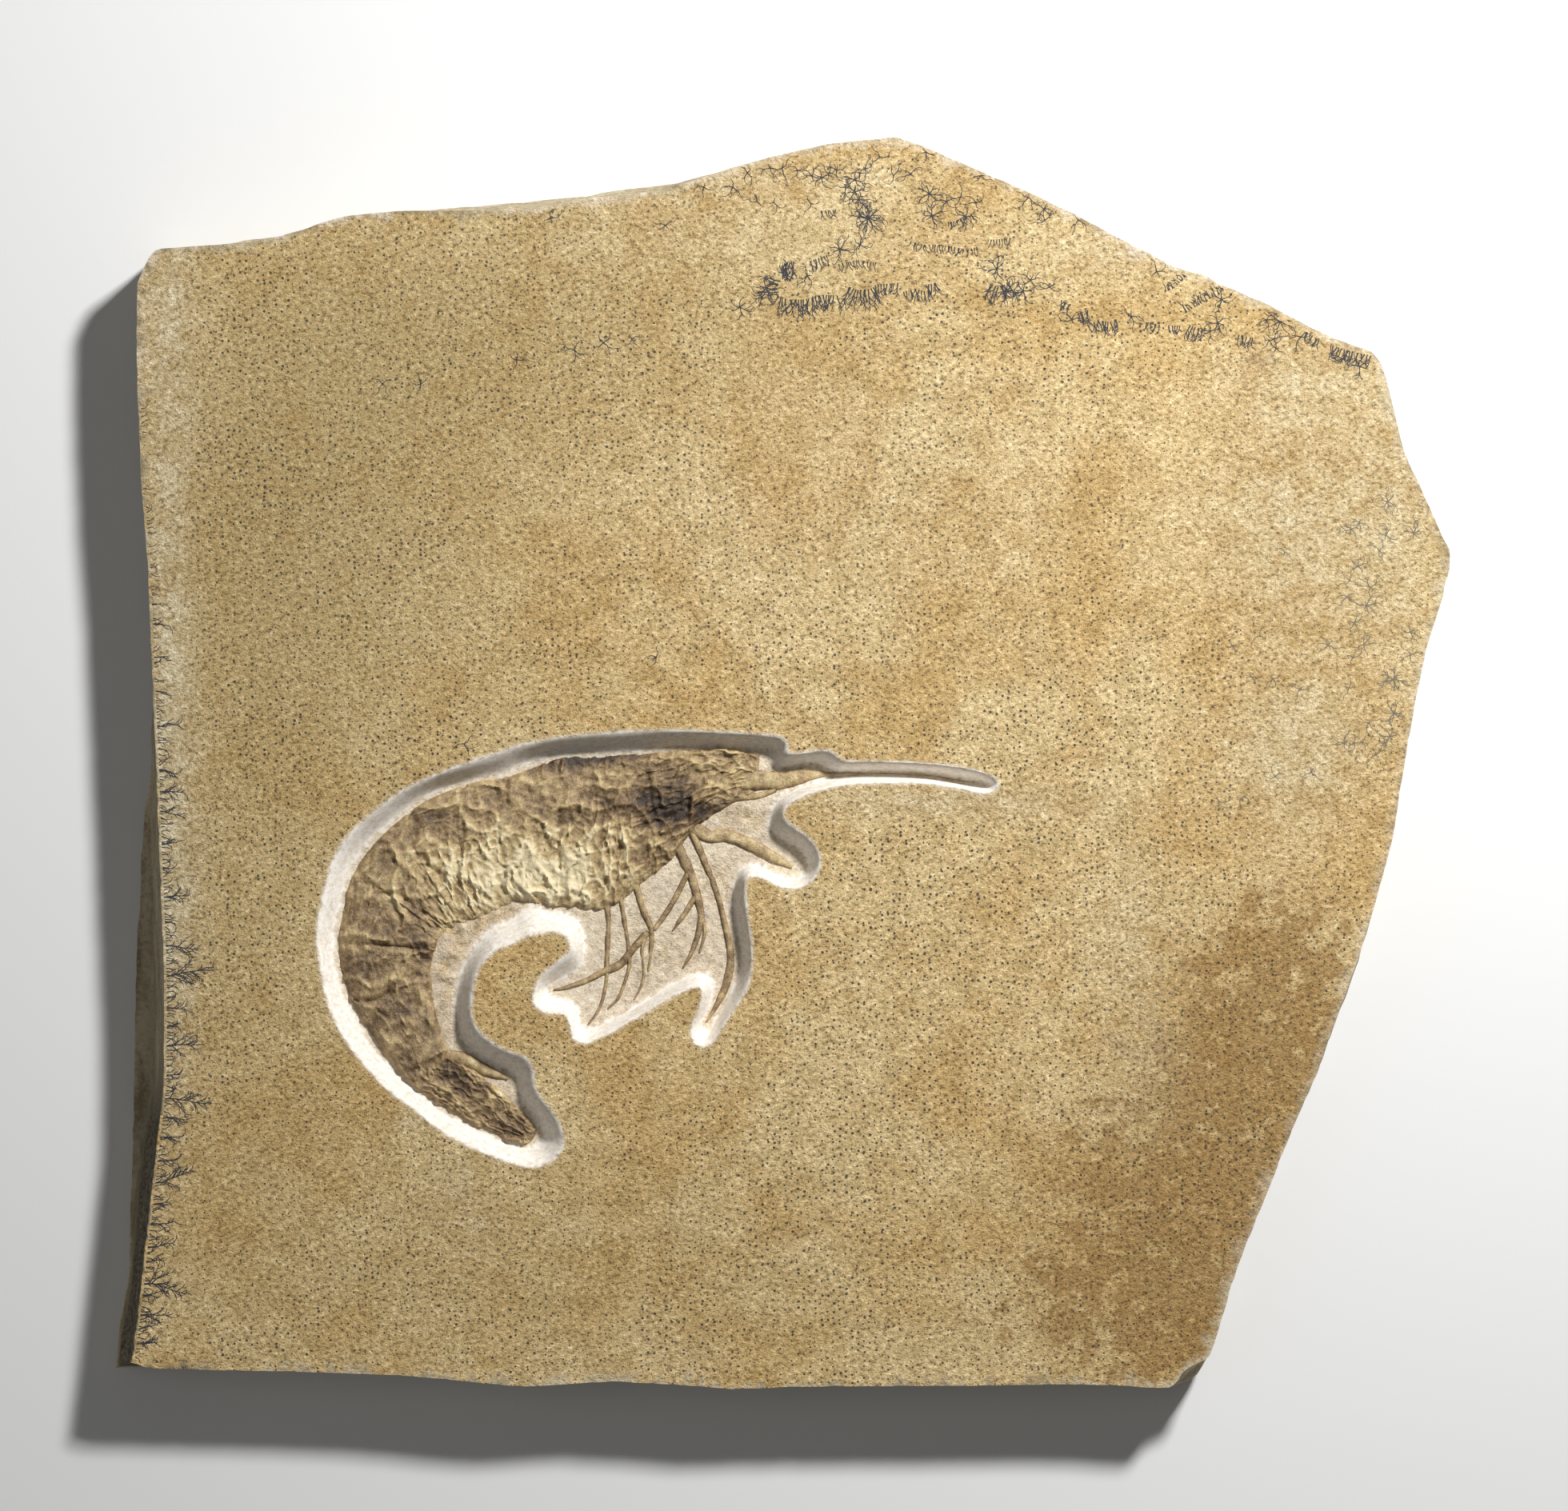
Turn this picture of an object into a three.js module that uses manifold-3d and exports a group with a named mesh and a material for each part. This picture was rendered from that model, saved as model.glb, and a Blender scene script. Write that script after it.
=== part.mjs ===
// Fossil shrimp plate: a broken slab of bedded limestone with a shrimp laid bare in a prepared recess.
// Millimetres. The slab lies on its back: z = 0 is the back face and the shrimp looks up along +Z,
// with its rostrum along +X, its back towards +Y and its tail curled under towards -Y.

import * as THREE from 'three';
import { mergeVertices } from 'three/addons/utils/BufferGeometryUtils.js';
import Module from 'manifold-3d';

const wasm = await Module();
wasm.setup();

// Driving dimensions of the slab
const THICKNESS = 16;
const RECESS_DEPTH = 4.5;
const FLOOR_Z = THICKNESS - RECESS_DEPTH;
// The back bed stands out below the front bed on the left side, as a ledge that slopes by LEDGE_DROP
const LEDGE_Z = 8;
const LEDGE_DROP = 0.9;
// The broken side: how far its facets bite in, and how far the lower arris is worn back
const FACET_BITE = 0.45;
const ARRIS_Z = 1.6;
const ARRIS_WEAR = 0.9;

// Driving dimensions of the shrimp, as heights above the recess floor
const EDGE_HEIGHT = 0.35;
const CARAPACE_HEIGHT = 2.2;
const ABDOMEN_HEIGHT = 2.3;
const CREASE_HEIGHT = 1.05;
const TAIL_HEIGHT = 1.25;
const COLUMNS = 14;
// How much the carapace falls off towards its two ends, and the tail fan towards its tip
const CARAPACE_FALL = 0.25;
const TAIL_FALL = 0.4;
// Ribs along the tail fan, where its blades lie side by side
const RIBS = 4;
const RIB_DEPTH = 0.4;
// Section of a limb, from one foot over the ridge: share of its width, share of its height
const LIMB_SECTION = [[-0.5, 0], [0.5, 0], [0.3, 0.75], [0, 1], [-0.3, 0.75]];
const LIMB_HEIGHT_SHARE = 0.55;

// Edge of the slab's face, clockwise from the lower left corner: x, y, how far the side leans out below
// that point, and the width of the ledge beyond it.
const FACE_EDGE = [
  // left side, going up
  [-135.5, -125, 3.6, 0.9], [-134.8, -120, 3.7, 0.8], [-133.5, -110, 3, 0.8], [-132.5, -100, 3.3, 0.9],
  [-131.3, -90, 3.5, 1.5], [-130.2, -80, 3.3, 2.6], [-129.2, -72, 3.3, 3.5], [-128.7, -66, 3, 4.2],
  [-128.7, -60, 3, 4.2], [-128.6, -50, 3.1, 3.9], [-128.8, -40, 3, 3.4], [-129.2, -30, 2.8, 2.8],
  [-129.6, -20, 2.7, 2], [-130, -10, 2.5, 1.1], [-130.2, -2, 2.1, 0.1], [-130.4, 2, 1.6, 0.3],
  [-130.8, 10, 1, 0.1], [-131.2, 20, 0.4, 0.1], [-132, 40, 0.3, 0.1], [-133.5, 60, 0.3, 0.1],
  [-134.3, 80, 0.3, 0.1], [-134.4, 90, 0.3, 0.1], [-134.2, 100, 0.3, 0.1], [-133, 103, 0.4, 0.1],
  [-131.5, 106, 0.5, 0.1],
  // top, going right to the apex
  [-130, 107.3, 0.4, 0.1], [-120, 108, 0.5, 0.1], [-110, 108.8, 1.1, 0.1], [-105, 109.8, 0.9, 0.1],
  [-100, 111.2, 0.6, 0.1], [-95, 113, 0.3, 0.1], [-90, 114.3, 0.6, 0.1], [-80, 115.2, 0.6, 0.1],
  [-70, 115.2, 1.2, 0.1], [-60, 115.5, 1.6, 0.1], [-50, 116, 2.1, 0.1], [-40, 118, 1.1, 0.1],
  [-35, 118.3, 1.9, 0.1], [-30, 118.8, 2, 0.1], [-25, 119.8, 1.5, 0.1], [-20, 121, 1.2, 0.1],
  [-10, 124.3, 0.6, 0.1], [0, 127, 0.5, 0.1], [10, 129.2, 0.3, 0.1], [20, 130.3, 0.4, 0.1],
  [24, 130.6, 0.3, 0.1],
  // upper right, going down to the right point
  [30, 128.6, 0.3, 0.1], [40, 124.2, 0.3, 0.1], [50, 119.9, 0.3, 0.1], [60, 115.2, 0.3, 0.1],
  [70, 109.8, 0.3, 0.1], [79.5, 105, 0.3, 0.1], [81, 104, 0.4, 0.1], [85, 102.6, 0.4, 0.1],
  [88, 102, 0.3, 0.1], [91, 100.2, 0.3, 0.1], [100, 96.5, 0.3, 0.1], [110, 91.2, 0.3, 0.1],
  [115, 88.8, 0.3, 0.1], [120, 87, 0.3, 0.1], [123.5, 85.8, 0.3, 0.1], [125, 84, 0.3, 0.1],
  [126.5, 79.5, 0.3, 0.1], [129, 69, 0.3, 0.1], [130, 65, 0.3, 0.1], [133, 58.5, 0.3, 0.1],
  [137, 49.6, 0.3, 0.1], [139, 45.5, 0.3, 0.1], [139.6, 44.3, 0.1, 0.1],
  // right side, going down to the chipped corner
  [139.5, 40.5, 0.3, 0.1], [138.2, 35, 0.3, 0.1], [136.6, 30, 0.3, 0.1], [135, 25, 0.3, 0.1],
  [132.8, 15, 0.3, 0.1], [131, 5, 0.3, 0.1], [129.3, -5, 0.3, 0.1], [127.8, -15, 0.4, 0.1],
  [125.2, -25, 0.5, 0.1], [122.3, -35, 0.7, 0.1], [119, -45, 0.9, 0.1], [115.2, -55, 1, 0.1],
  [111.7, -65, 0.9, 0.1], [107.3, -75, 0.6, 0.1], [103.3, -85, 0.5, 0.1], [99.3, -95, 0.4, 0.1],
  [95.3, -105, 0.4, 0.1], [92.3, -115, 0.3, 0.1], [90.3, -121.5, 0.3, 0.1], [89.4, -124, 0.4, 0.1],
  [86.4, -125.4, 2.9, 0.1], [84, -126.8, 3.6, 0.1], [82.6, -129.2, 1.9, 0.1],
  // bottom, going left
  [81, -130.4, 0.5, 0.1], [75, -130.2, 0.3, 0.1], [70, -129.8, 0.3, 0.1], [60, -129.6, 0.3, 0.1],
  [40, -129.9, 0.3, 0.1], [20, -130, 0.3, 0.1], [5, -130.1, 0.3, 0.1], [-10, -130.6, 0.3, 0.1],
  [-20, -129.8, 0.3, 0.1], [-35, -129, 0.3, 0.1], [-53, -130.1, 0.3, 0.1], [-60, -129.6, 0.3, 0.1],
  [-70, -128.5, 0.3, 0.1], [-80, -127.7, 0.3, 0.1], [-100, -127, 0.3, 0.1], [-120, -126.6, 0.3, 0.1],
  [-132, -126.2, 0.5, 0.1],
];

// Edge of the recess in the slab's face, clockwise from its left end
const RECESS_RIM = [
  // over the abdomen and the carapace
  [-96.6, -36], [-95.5, -28], [-93.2, -20], [-90.4, -15.5], [-86, -11.2], [-80, -6.5], [-74, -3.4],
  [-68, -1], [-60, 1.8], [-54, 3.7], [-46, 5.3], [-36, 6.3], [-24, 6.8], [-12, 6.4], [-4, 5.9],
  [0, 5.3], [1.2, 4.1], [1.3, 2.6], [2.2, 2], [5, 2.1], [8, 2.6], [10, 2.5], [11.5, 1.5], [13.2, 0.4],
  // round the rostrum groove
  [18, 0.3], [26, 0.1], [34, -0.5], [41, -1.7], [44.3, -3.1], [45.2, -4.3], [44.2, -5.9], [42, -6.2],
  [37, -5.2], [30, -4.2], [22, -4.1], [14, -4.5], [7, -6], [2.2, -8.1], [0.7, -9.8],
  // round the antennal scale
  [1, -11.8], [3.5, -13.9], [6.3, -16.2], [8, -19], [7.9, -22], [5.8, -25], [2.5, -26.1], [-1, -25.4],
  [-4, -23.8], [-6.4, -23.7], [-7.3, -25],
  // down the front of the legs and round the long foot
  [-7.3, -29], [-6.6, -34], [-6, -40], [-6.4, -44.5], [-8, -48.5], [-11.3, -53.5], [-14.3, -58],
  [-16.2, -59.1], [-18.2, -57.7], [-18.6, -55], [-17.3, -52], [-16.4, -48.2], [-17, -46.6], [-20, -47.3],
  // along the feet
  [-28, -51.9], [-36, -56.4], [-40.5, -58.3], [-43.2, -57.3], [-44, -54], [-45.2, -52.3], [-49, -52],
  [-51.4, -50.2], [-51.5, -47.6], [-49.5, -44], [-46, -41], [-44, -38.9], [-44.4, -36.6], [-47, -35.2],
  // under the body and inside the curl of the tail
  [-52, -35.9], [-56, -37.5], [-60, -39.5], [-63.2, -43.5], [-64.4, -49], [-64.1, -54], [-61, -57.7],
  [-57, -60], [-53, -61.6], [-51.7, -63.5], [-51.5, -66.5], [-50.1, -69.7], [-47.4, -73], [-45.5, -77.3],
  // round the tail fan and up the back
  [-45.5, -80], [-48, -83.1], [-52, -84.1], [-57, -83], [-64, -80.2], [-70, -77.2], [-76, -72.5],
  [-82, -67.9], [-87.5, -62], [-91.7, -56], [-94.4, -50], [-96, -42],
];

// Foot of the recess wall on the floor, in the same order
const RECESS_FOOT = [
  // over the abdomen and the carapace
  [-93.4, -36], [-91.8, -29], [-89.8, -22], [-86.4, -16.7], [-81.8, -12.5], [-76, -8], [-70, -4.8],
  [-64, -3.4], [-58, -2.2], [-54, -0.3], [-48, 1.6], [-40, 2.3], [-34, 2.3], [-27, 3.1], [-18, 3.7],
  [-10, 3.5], [-3.2, 2.9], [-1.6, 2], [-1.9, 0], [-0.8, -1.1], [3, -0.6], [6.5, 0], [8.8, -0.7],
  [11, -1.7],
  // round the rostrum groove
  [16, -1.8], [24, -1.8], [32, -2.3], [39, -3.5], [42.4, -4.4], [39, -4.4], [32, -3.2], [24, -2.6],
  [16, -2.6], [11, -3], [6, -4.3], [1, -6.5], [-0.9, -8.2],
  // round the antennal scale
  [-2.2, -11], [-2.3, -14], [0, -16], [3, -17.6], [5.2, -20], [5.2, -22.8], [3, -24], [0, -23.5],
  [-3.5, -21.8], [-6.5, -21], [-8.6, -22.4],
  // down the front of the legs and round the long foot
  [-9.9, -26], [-10, -31], [-8.9, -37], [-8.4, -41], [-9.5, -46], [-12.3, -51.5], [-15.2, -55.4],
  [-16.3, -55], [-15.4, -52], [-14.2, -47.5], [-14.5, -45], [-16.5, -43.7], [-20, -44.7],
  // along the feet
  [-28, -49.4], [-36, -53.8], [-40.3, -55.5], [-41.8, -54.4], [-42.4, -51.2], [-44.5, -49.6],
  [-47.5, -48.8], [-48.6, -47.2], [-46, -45.1], [-42, -42.8], [-40.9, -40], [-41.2, -34.5], [-43.4, -31.9],
  // under the body and inside the curl of the tail
  [-48, -30.9], [-52, -29.9], [-56, -32.4], [-60, -34.2], [-63.5, -37.8], [-66.4, -43], [-67.9, -49],
  [-67.7, -54], [-66.3, -58.6], [-62.5, -62], [-58, -64], [-55.4, -66.2], [-54.9, -69], [-53.4, -72],
  [-51.2, -74.8],
  // round the tail fan and up the back
  [-49.9, -77.6], [-51, -79.7], [-54, -80.3], [-58, -79], [-64, -76.2], [-70, -73.2], [-76, -68.7],
  [-81.2, -64], [-86.2, -58], [-89.8, -51.3], [-92.6, -44.5],
];

// Lines across the body from the back edge over the middle to the belly edge. The ones after the carapace
// are the joints between the abdomen's segments.
const CARAPACE_LINES = [
  [[-4.4, 1.9], [-4.6, -2.5], [-5.6, -7]],
  [[-10, 2.9], [-11, -3], [-12, -9.5]],
  [[-17, 3.1], [-17.6, -6], [-18.5, -14.5]],
  [[-24, 2.4], [-24, -9], [-23, -20.5]],
  [[-31, 2], [-30.5, -11], [-29, -25.3]],
  [[-38, 1.6], [-37.5, -13.5], [-36, -30.5]],
  [[-46, 1.2], [-46, -14.5], [-45.5, -30.2]],
];
const SEGMENT_LINES = [
  [[-56.2, -2.4], [-58.5, -15], [-54.2, -29.2]],
  [[-66, -4.5], [-66.8, -16.5], [-61.5, -31.8]],
  [[-77.1, -9.8], [-76, -19], [-66.5, -33.8]],
  [[-88.6, -21.7], [-82, -27.5], [-70.5, -35.8]],
  [[-92.4, -38], [-83, -38], [-72, -39.3]],
  [[-89.2, -51], [-82, -48], [-73, -45]],
  [[-79.4, -64.9], [-74.2, -62.4], [-69.6, -59.8]],
];
const TAIL_LINES = [
  [[-73.6, -69.9], [-70.2, -66.2], [-66.2, -62.4]],
  [[-67.4, -73.9], [-64.8, -70], [-61.6, -66]],
  [[-61, -77.1], [-59.4, -73.8], [-57.2, -69.8]],
  [[-56, -79.2], [-55, -76.6], [-53.4, -73.4]],
  [[-52.6, -79.5], [-51.6, -78.4], [-50.9, -76.6]],
];
// Rows between two joints: how far along, and the height there as a share between crease and crest. Each
// segment rises towards the tail and overlaps the next one.
const SEGMENT_ROWS = [[0, 0], [0.12, 0.35], [0.35, 0.75], [0.65, 0.95], [0.9, 1]];

// Limbs and other narrow parts as a centre line with a width at each point
const LIMBS = [
  // rostrum
  [[-12, -4, 4], [-6, -3.6, 4.4], [0, -3.6, 4], [5, -2.6, 3], [10, -2.3, 0.9], [16, -2.2, 0.45],
    [24, -2.2, 0.4], [32, -2.75, 0.4], [38, -3.8, 0.3], [40.6, -4.1, 0.2]],
  // second spine under the rostrum
  [[-10, -7, 2], [-5, -6.9, 1.6], [-1, -5.6, 1]],
  // antennal scale
  [[-19, -13, 3], [-15, -15.3, 3], [-11, -15.2, 2.8], [-6, -17.3, 2.8], [-1, -20, 2.4], [2.4, -21.8, 0.8]],
  // upper lobe of the tail fan
  [[-71, -61, 3], [-66, -62, 3], [-61.5, -64.3, 2.6], [-57, -65.9, 0.8]],
  // walking legs, from the rear of the body to its front
  [[-36.5, -28, 1.6], [-36, -33, 1.3], [-36.2, -38, 1.2], [-36.4, -44, 1]],
  [[-28, -35.5, 1.6], [-31, -39, 1.8], [-33.5, -42, 1.8], [-37, -43.6, 1.7], [-40.5, -45.4, 1.3],
    [-44.5, -46.8, 1], [-47.4, -47.4, 0.5]],
  [[-36.2, -43.5, 1], [-37, -48.5, 0.8], [-38.2, -51.8, 0.7], [-40.2, -54.6, 0.5]],
  [[-33.5, -28, 1.2], [-32.2, -36, 1], [-31.6, -41, 1], [-32.2, -44.5, 0.9], [-33.9, -49, 0.7],
    [-36, -51.2, 0.5]],
  [[-27.8, -35, 1], [-29, -39, 0.9], [-28.7, -45, 0.7], [-30.6, -49.4, 0.5]],
  [[-30.5, -24.5, 1.8], [-29, -30, 1.5], [-27, -35.5, 1.4], [-27.7, -43.5, 0.6]],
  [[-19.2, -22.5, 1.4], [-22.5, -29, 1.4], [-26.4, -34.8, 1.2]],
  [[-17.6, -27.5, 1.4], [-20.3, -31.8, 1.3], [-22.6, -35, 0.6]],
  [[-21.5, -17.5, 2.4], [-19, -23, 2.2], [-17.3, -28.5, 1.9], [-16.7, -33, 1.6], [-18.2, -38.5, 1.2],
    [-20.4, -42.8, 0.5]],
  [[-16.9, -31.5, 1.2], [-15.9, -35, 1], [-16.9, -39.5, 0.5]],
  [[-19.5, -12.5, 1.8], [-16.8, -18.5, 1.6], [-13.6, -26.5, 1.4], [-11.6, -34, 1.4], [-10.5, -40.5, 1.8],
    [-11.2, -45.5, 1.9], [-12.8, -49.5, 1.5], [-15.5, -54, 0.5]],
];

// A set of vertices and triangles, filled ring by ring
class Facets {
  constructor() {
    this.positions = [];
    this.triangles = [];
  }

  vertex(x, y, z) {
    this.positions.push(x, y, z);
    return this.positions.length / 3 - 1;
  }

  ring(points, z) {
    return points.map((p) => this.vertex(p.x, p.y, z));
  }

  flat(index) {
    return new THREE.Vector2(this.positions[3 * index], this.positions[3 * index + 1]);
  }

  // Side between two rings with the same number of points, both counter-clockwise
  side(lower, upper) {
    for (let i = 0; i < lower.length; i += 1) {
      const next = (i + 1) % lower.length;
      this.triangles.push(lower[i], lower[next], upper[next]);
      this.triangles.push(lower[i], upper[next], upper[i]);
    }
  }

  // Wall of a recess between its rim and its foot, which may have different numbers of points: the
  // shorter of the two possible diagonals is taken at each step.
  wall(rim, foot) {
    let i = 0;
    let j = 0;
    while (i < rim.length || j < foot.length) {
      const r = rim[i % rim.length];
      const f = foot[j % foot.length];
      const nextR = rim[(i + 1) % rim.length];
      const nextF = foot[(j + 1) % foot.length];
      const alongRim = this.flat(nextR).distanceTo(this.flat(f));
      const alongFoot = this.flat(nextF).distanceTo(this.flat(r));
      if (j === foot.length || (i < rim.length && alongRim <= alongFoot)) {
        this.triangles.push(r, nextR, f);
        i += 1;
      } else {
        this.triangles.push(nextF, f, r);
        j += 1;
      }
    }
  }

  // Flat face inside a ring, with holes, looking up or down
  cap(ring, holes, up) {
    const outline = ring.map((i) => this.flat(i));
    const inner = holes.map((hole) => hole.map((i) => this.flat(i)));
    const all = [ring, ...holes].flat();
    for (const [a, b, c] of THREE.ShapeUtils.triangulateShape(outline, inner)) {
      const corners = [all[a], all[b], all[c]];
      const looksUp = THREE.ShapeUtils.area(corners.map((i) => this.flat(i))) > 0;
      this.triangles.push(...(looksUp === up ? corners : corners.reverse()));
    }
  }

  geometry() {
    const result = new THREE.BufferGeometry();
    result.setAttribute('position', new THREE.Float32BufferAttribute(this.positions, 3));
    result.setIndex(this.triangles);
    return result;
  }
}

// The traced outlines run clockwise and the rings counter-clockwise
function counterClockwise(points) {
  return points.map(([x, y]) => new THREE.Vector2(x, y)).reverse();
}

// Smooth closed curve through the points, with two steps between each pair
function smoothRing(points) {
  const through = counterClockwise(points).map((p) => new THREE.Vector3(p.x, p.y, 0));
  const curve = new THREE.CatmullRomCurve3(through, true, 'centripetal');
  return curve.getPoints(2 * through.length).slice(0, -1);
}

// Direction out of the outline at each of its points
function outwardNormals(points) {
  return points.map((p, i) => {
    const before = points[(i + points.length - 1) % points.length];
    const after = points[(i + 1) % points.length];
    const along = after.clone().sub(before).normalize();
    return new THREE.Vector2(along.y, -along.x);
  });
}

// Uneven bite of the broken side at one point of one level, from 0 to 1
function bite(index, level) {
  const wave = Math.sin(index * 12.9898 + level * 78.233) * 43758.5453;
  return wave - Math.floor(wave);
}

function limestonePlate() {
  const facets = new Facets();
  const edge = counterClockwise(FACE_EDGE);
  const out = outwardNormals(edge);
  const leans = FACE_EDGE.map((p) => p[2]).reverse();
  const ledges = FACE_EDGE.map((p) => p[3]).reverse();
  const levels = [
    { z: 0, lean: 1, ledge: 1, inset: ARRIS_WEAR, rough: 1 },
    { z: ARRIS_Z, lean: 1, ledge: 1, inset: 0, rough: 1 },
    { z: LEDGE_Z - LEDGE_DROP, lean: 1, ledge: 1, inset: 0, rough: 0 },
    { z: LEDGE_Z, lean: 1, ledge: 0, inset: 0, rough: 0.3 },
    { z: (LEDGE_Z + THICKNESS) / 2, lean: 0.6, ledge: 0, inset: 0, rough: 1 },
    { z: THICKNESS, lean: 0, ledge: 0, inset: 0, rough: 0 },
  ];
  const rings = levels.map((level, k) => {
    const points = edge.map((p, i) => {
      const reach = level.lean * leans[i] + level.ledge * ledges[i] - level.inset;
      return p.clone().addScaledVector(out[i], reach - level.rough * FACET_BITE * bite(i, k));
    });
    return facets.ring(points, level.z);
  });
  for (let k = 0; k + 1 < rings.length; k += 1) {
    facets.side(rings[k], rings[k + 1]);
  }
  const rim = facets.ring(smoothRing(RECESS_RIM), THICKNESS);
  const foot = facets.ring(smoothRing(RECESS_FOOT), FLOOR_Z);
  facets.cap(rings[0], [], false);
  facets.cap(rings[rings.length - 1], [rim], true);
  facets.wall(rim, foot);
  facets.cap(foot, [], true);
  return facets.geometry();
}

function solid(geometry) {
  const merged = mergeVertices(geometry);
  return new wasm.Manifold(new wasm.Mesh({
    numProp: 3,
    vertProperties: merged.attributes.position.array,
    triVerts: new Uint32Array(merged.index.array),
  }));
}

// Curve over the three points of a line across the body
function acrossBody([back, middle, belly]) {
  const control = middle.map((m, i) => 2 * m - (back[i] + belly[i]) / 2);
  const [start, bend, end] = [back, control, belly].map(([x, y]) => new THREE.Vector2(x, y));
  return new THREE.QuadraticBezierCurve(start, bend, end);
}

// Rows of the body from the head to the tail: place along the list of lines, and height of the crest
function bodyRows() {
  const rows = [];
  CARAPACE_LINES.forEach((line, i) => {
    const swell = Math.sin((Math.PI * i) / (CARAPACE_LINES.length - 1));
    const height = CARAPACE_HEIGHT * (1 - CARAPACE_FALL * (1 - swell));
    rows.push({ at: i, height }, { at: i + 0.5, height });
  });
  const first = CARAPACE_LINES.length;
  for (let i = 0; i + 1 < SEGMENT_LINES.length; i += 1) {
    for (const [along, rise] of SEGMENT_ROWS) {
      rows.push({ at: first + i + along, height: THREE.MathUtils.lerp(CREASE_HEIGHT, ABDOMEN_HEIGHT, rise) });
    }
  }
  const tail = first + SEGMENT_LINES.length - 1;
  rows.push({ at: tail, height: CREASE_HEIGHT });
  TAIL_LINES.forEach((line, i) => {
    const height = TAIL_HEIGHT * (1 - (TAIL_FALL * i) / TAIL_LINES.length);
    rows.push({ at: tail + i + 0.5, height }, { at: tail + i + 1, height });
  });
  return { rows, tail };
}

function shrimpBody() {
  const lines = [...CARAPACE_LINES, ...SEGMENT_LINES, ...TAIL_LINES];
  const last = lines.length - 1;
  // One smooth curve along the back, one along the middle and one along the belly
  const lengthwise = [0, 1, 2].map((k) => new THREE.CatmullRomCurve3(
    lines.map((line) => new THREE.Vector3(...line[k], 0)), false, 'centripetal',
  ));
  const { rows, tail } = bodyRows();
  const facets = new Facets();
  const grid = rows.map(({ at, height }) => {
    const three = lengthwise.map((curve) => curve.getPoint(at / last).toArray());
    const across = acrossBody(three);
    return Array.from({ length: COLUMNS + 1 }, (_, j) => {
      const v = j / COLUMNS;
      const p = across.getPoint(v);
      const dome = 1 - (2 * v - 1) ** 4;
      const ribs = at > tail ? 1 - RIB_DEPTH * Math.sin(RIBS * Math.PI * v) ** 2 : 1;
      return facets.vertex(p.x, p.y, FLOOR_Z + EDGE_HEIGHT + (height - EDGE_HEIGHT) * dome * ribs);
    });
  });
  for (let i = 0; i + 1 < grid.length; i += 1) {
    for (let j = 0; j < COLUMNS; j += 1) {
      const [a, b, c, d] = [grid[i][j], grid[i + 1][j], grid[i + 1][j + 1], grid[i][j + 1]];
      facets.triangles.push(a, b, c, a, c, d);
    }
  }
  const backEdge = grid.map((row) => row[0]);
  const bellyEdge = grid.map((row) => row[COLUMNS]).reverse();
  const top = [...backEdge, ...grid[grid.length - 1].slice(1, -1), ...bellyEdge,
    ...grid[0].slice(1, -1).reverse()];
  const bottom = facets.ring(top.map((i) => facets.flat(i)), FLOOR_Z);
  facets.side(bottom, top);
  facets.cap(bottom, [], false);
  return facets.geometry();
}

// A limb lies on the floor with a low roof-shaped section
function limb(points) {
  const facets = new Facets();
  const centres = points.map(([x, y]) => new THREE.Vector2(x, y));
  const sections = points.map(([, , width], i) => {
    const before = centres[Math.max(i - 1, 0)];
    const after = centres[Math.min(i + 1, points.length - 1)];
    const along = after.clone().sub(before).normalize();
    const left = new THREE.Vector2(-along.y, along.x);
    const height = EDGE_HEIGHT + LIMB_HEIGHT_SHARE * width;
    return LIMB_SECTION.map(([across, up]) => {
      const p = centres[i].clone().addScaledVector(left, width * across);
      return facets.vertex(p.x, p.y, FLOOR_Z + height * up);
    });
  });
  for (let i = 0; i + 1 < sections.length; i += 1) {
    facets.side(sections[i], sections[i + 1]);
  }
  const start = sections[0];
  const end = sections[sections.length - 1];
  for (let k = 1; k + 1 < start.length; k += 1) {
    facets.triangles.push(start[0], start[k + 1], start[k]);
    facets.triangles.push(end[0], end[k], end[k + 1]);
  }
  return facets.geometry();
}

function fossilShrimp() {
  const whole = LIMBS.reduce((body, points) => body.add(solid(limb(points))), solid(shrimpBody()));
  const { vertProperties, triVerts } = whole.getMesh();
  const geometry = new THREE.BufferGeometry();
  geometry.setAttribute('position', new THREE.BufferAttribute(vertProperties, 3));
  geometry.setIndex(new THREE.BufferAttribute(triVerts, 1));
  return geometry;
}

function piece(name, geometry, color, roughness) {
  geometry.computeVertexNormals();
  const material = new THREE.MeshStandardMaterial({ color, roughness, metalness: 0 });
  const mesh = new THREE.Mesh(geometry, material);
  mesh.name = name;
  return mesh;
}

const plate = new THREE.Group();
plate.add(piece('limestone_plate', limestonePlate(), 0xcbb07e, 0.9));
plate.add(piece('fossil_shrimp', fossilShrimp(), 0x8c7350, 0.6));

export default plate;
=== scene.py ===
"""Fossil shrimp plate: a slab of bedded limestone with a shrimp laid bare in a prepared recess."""

import math
import random

import bpy
import numpy as np
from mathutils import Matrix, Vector
from mathutils.geometry import delaunay_2d_cdt


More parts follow.
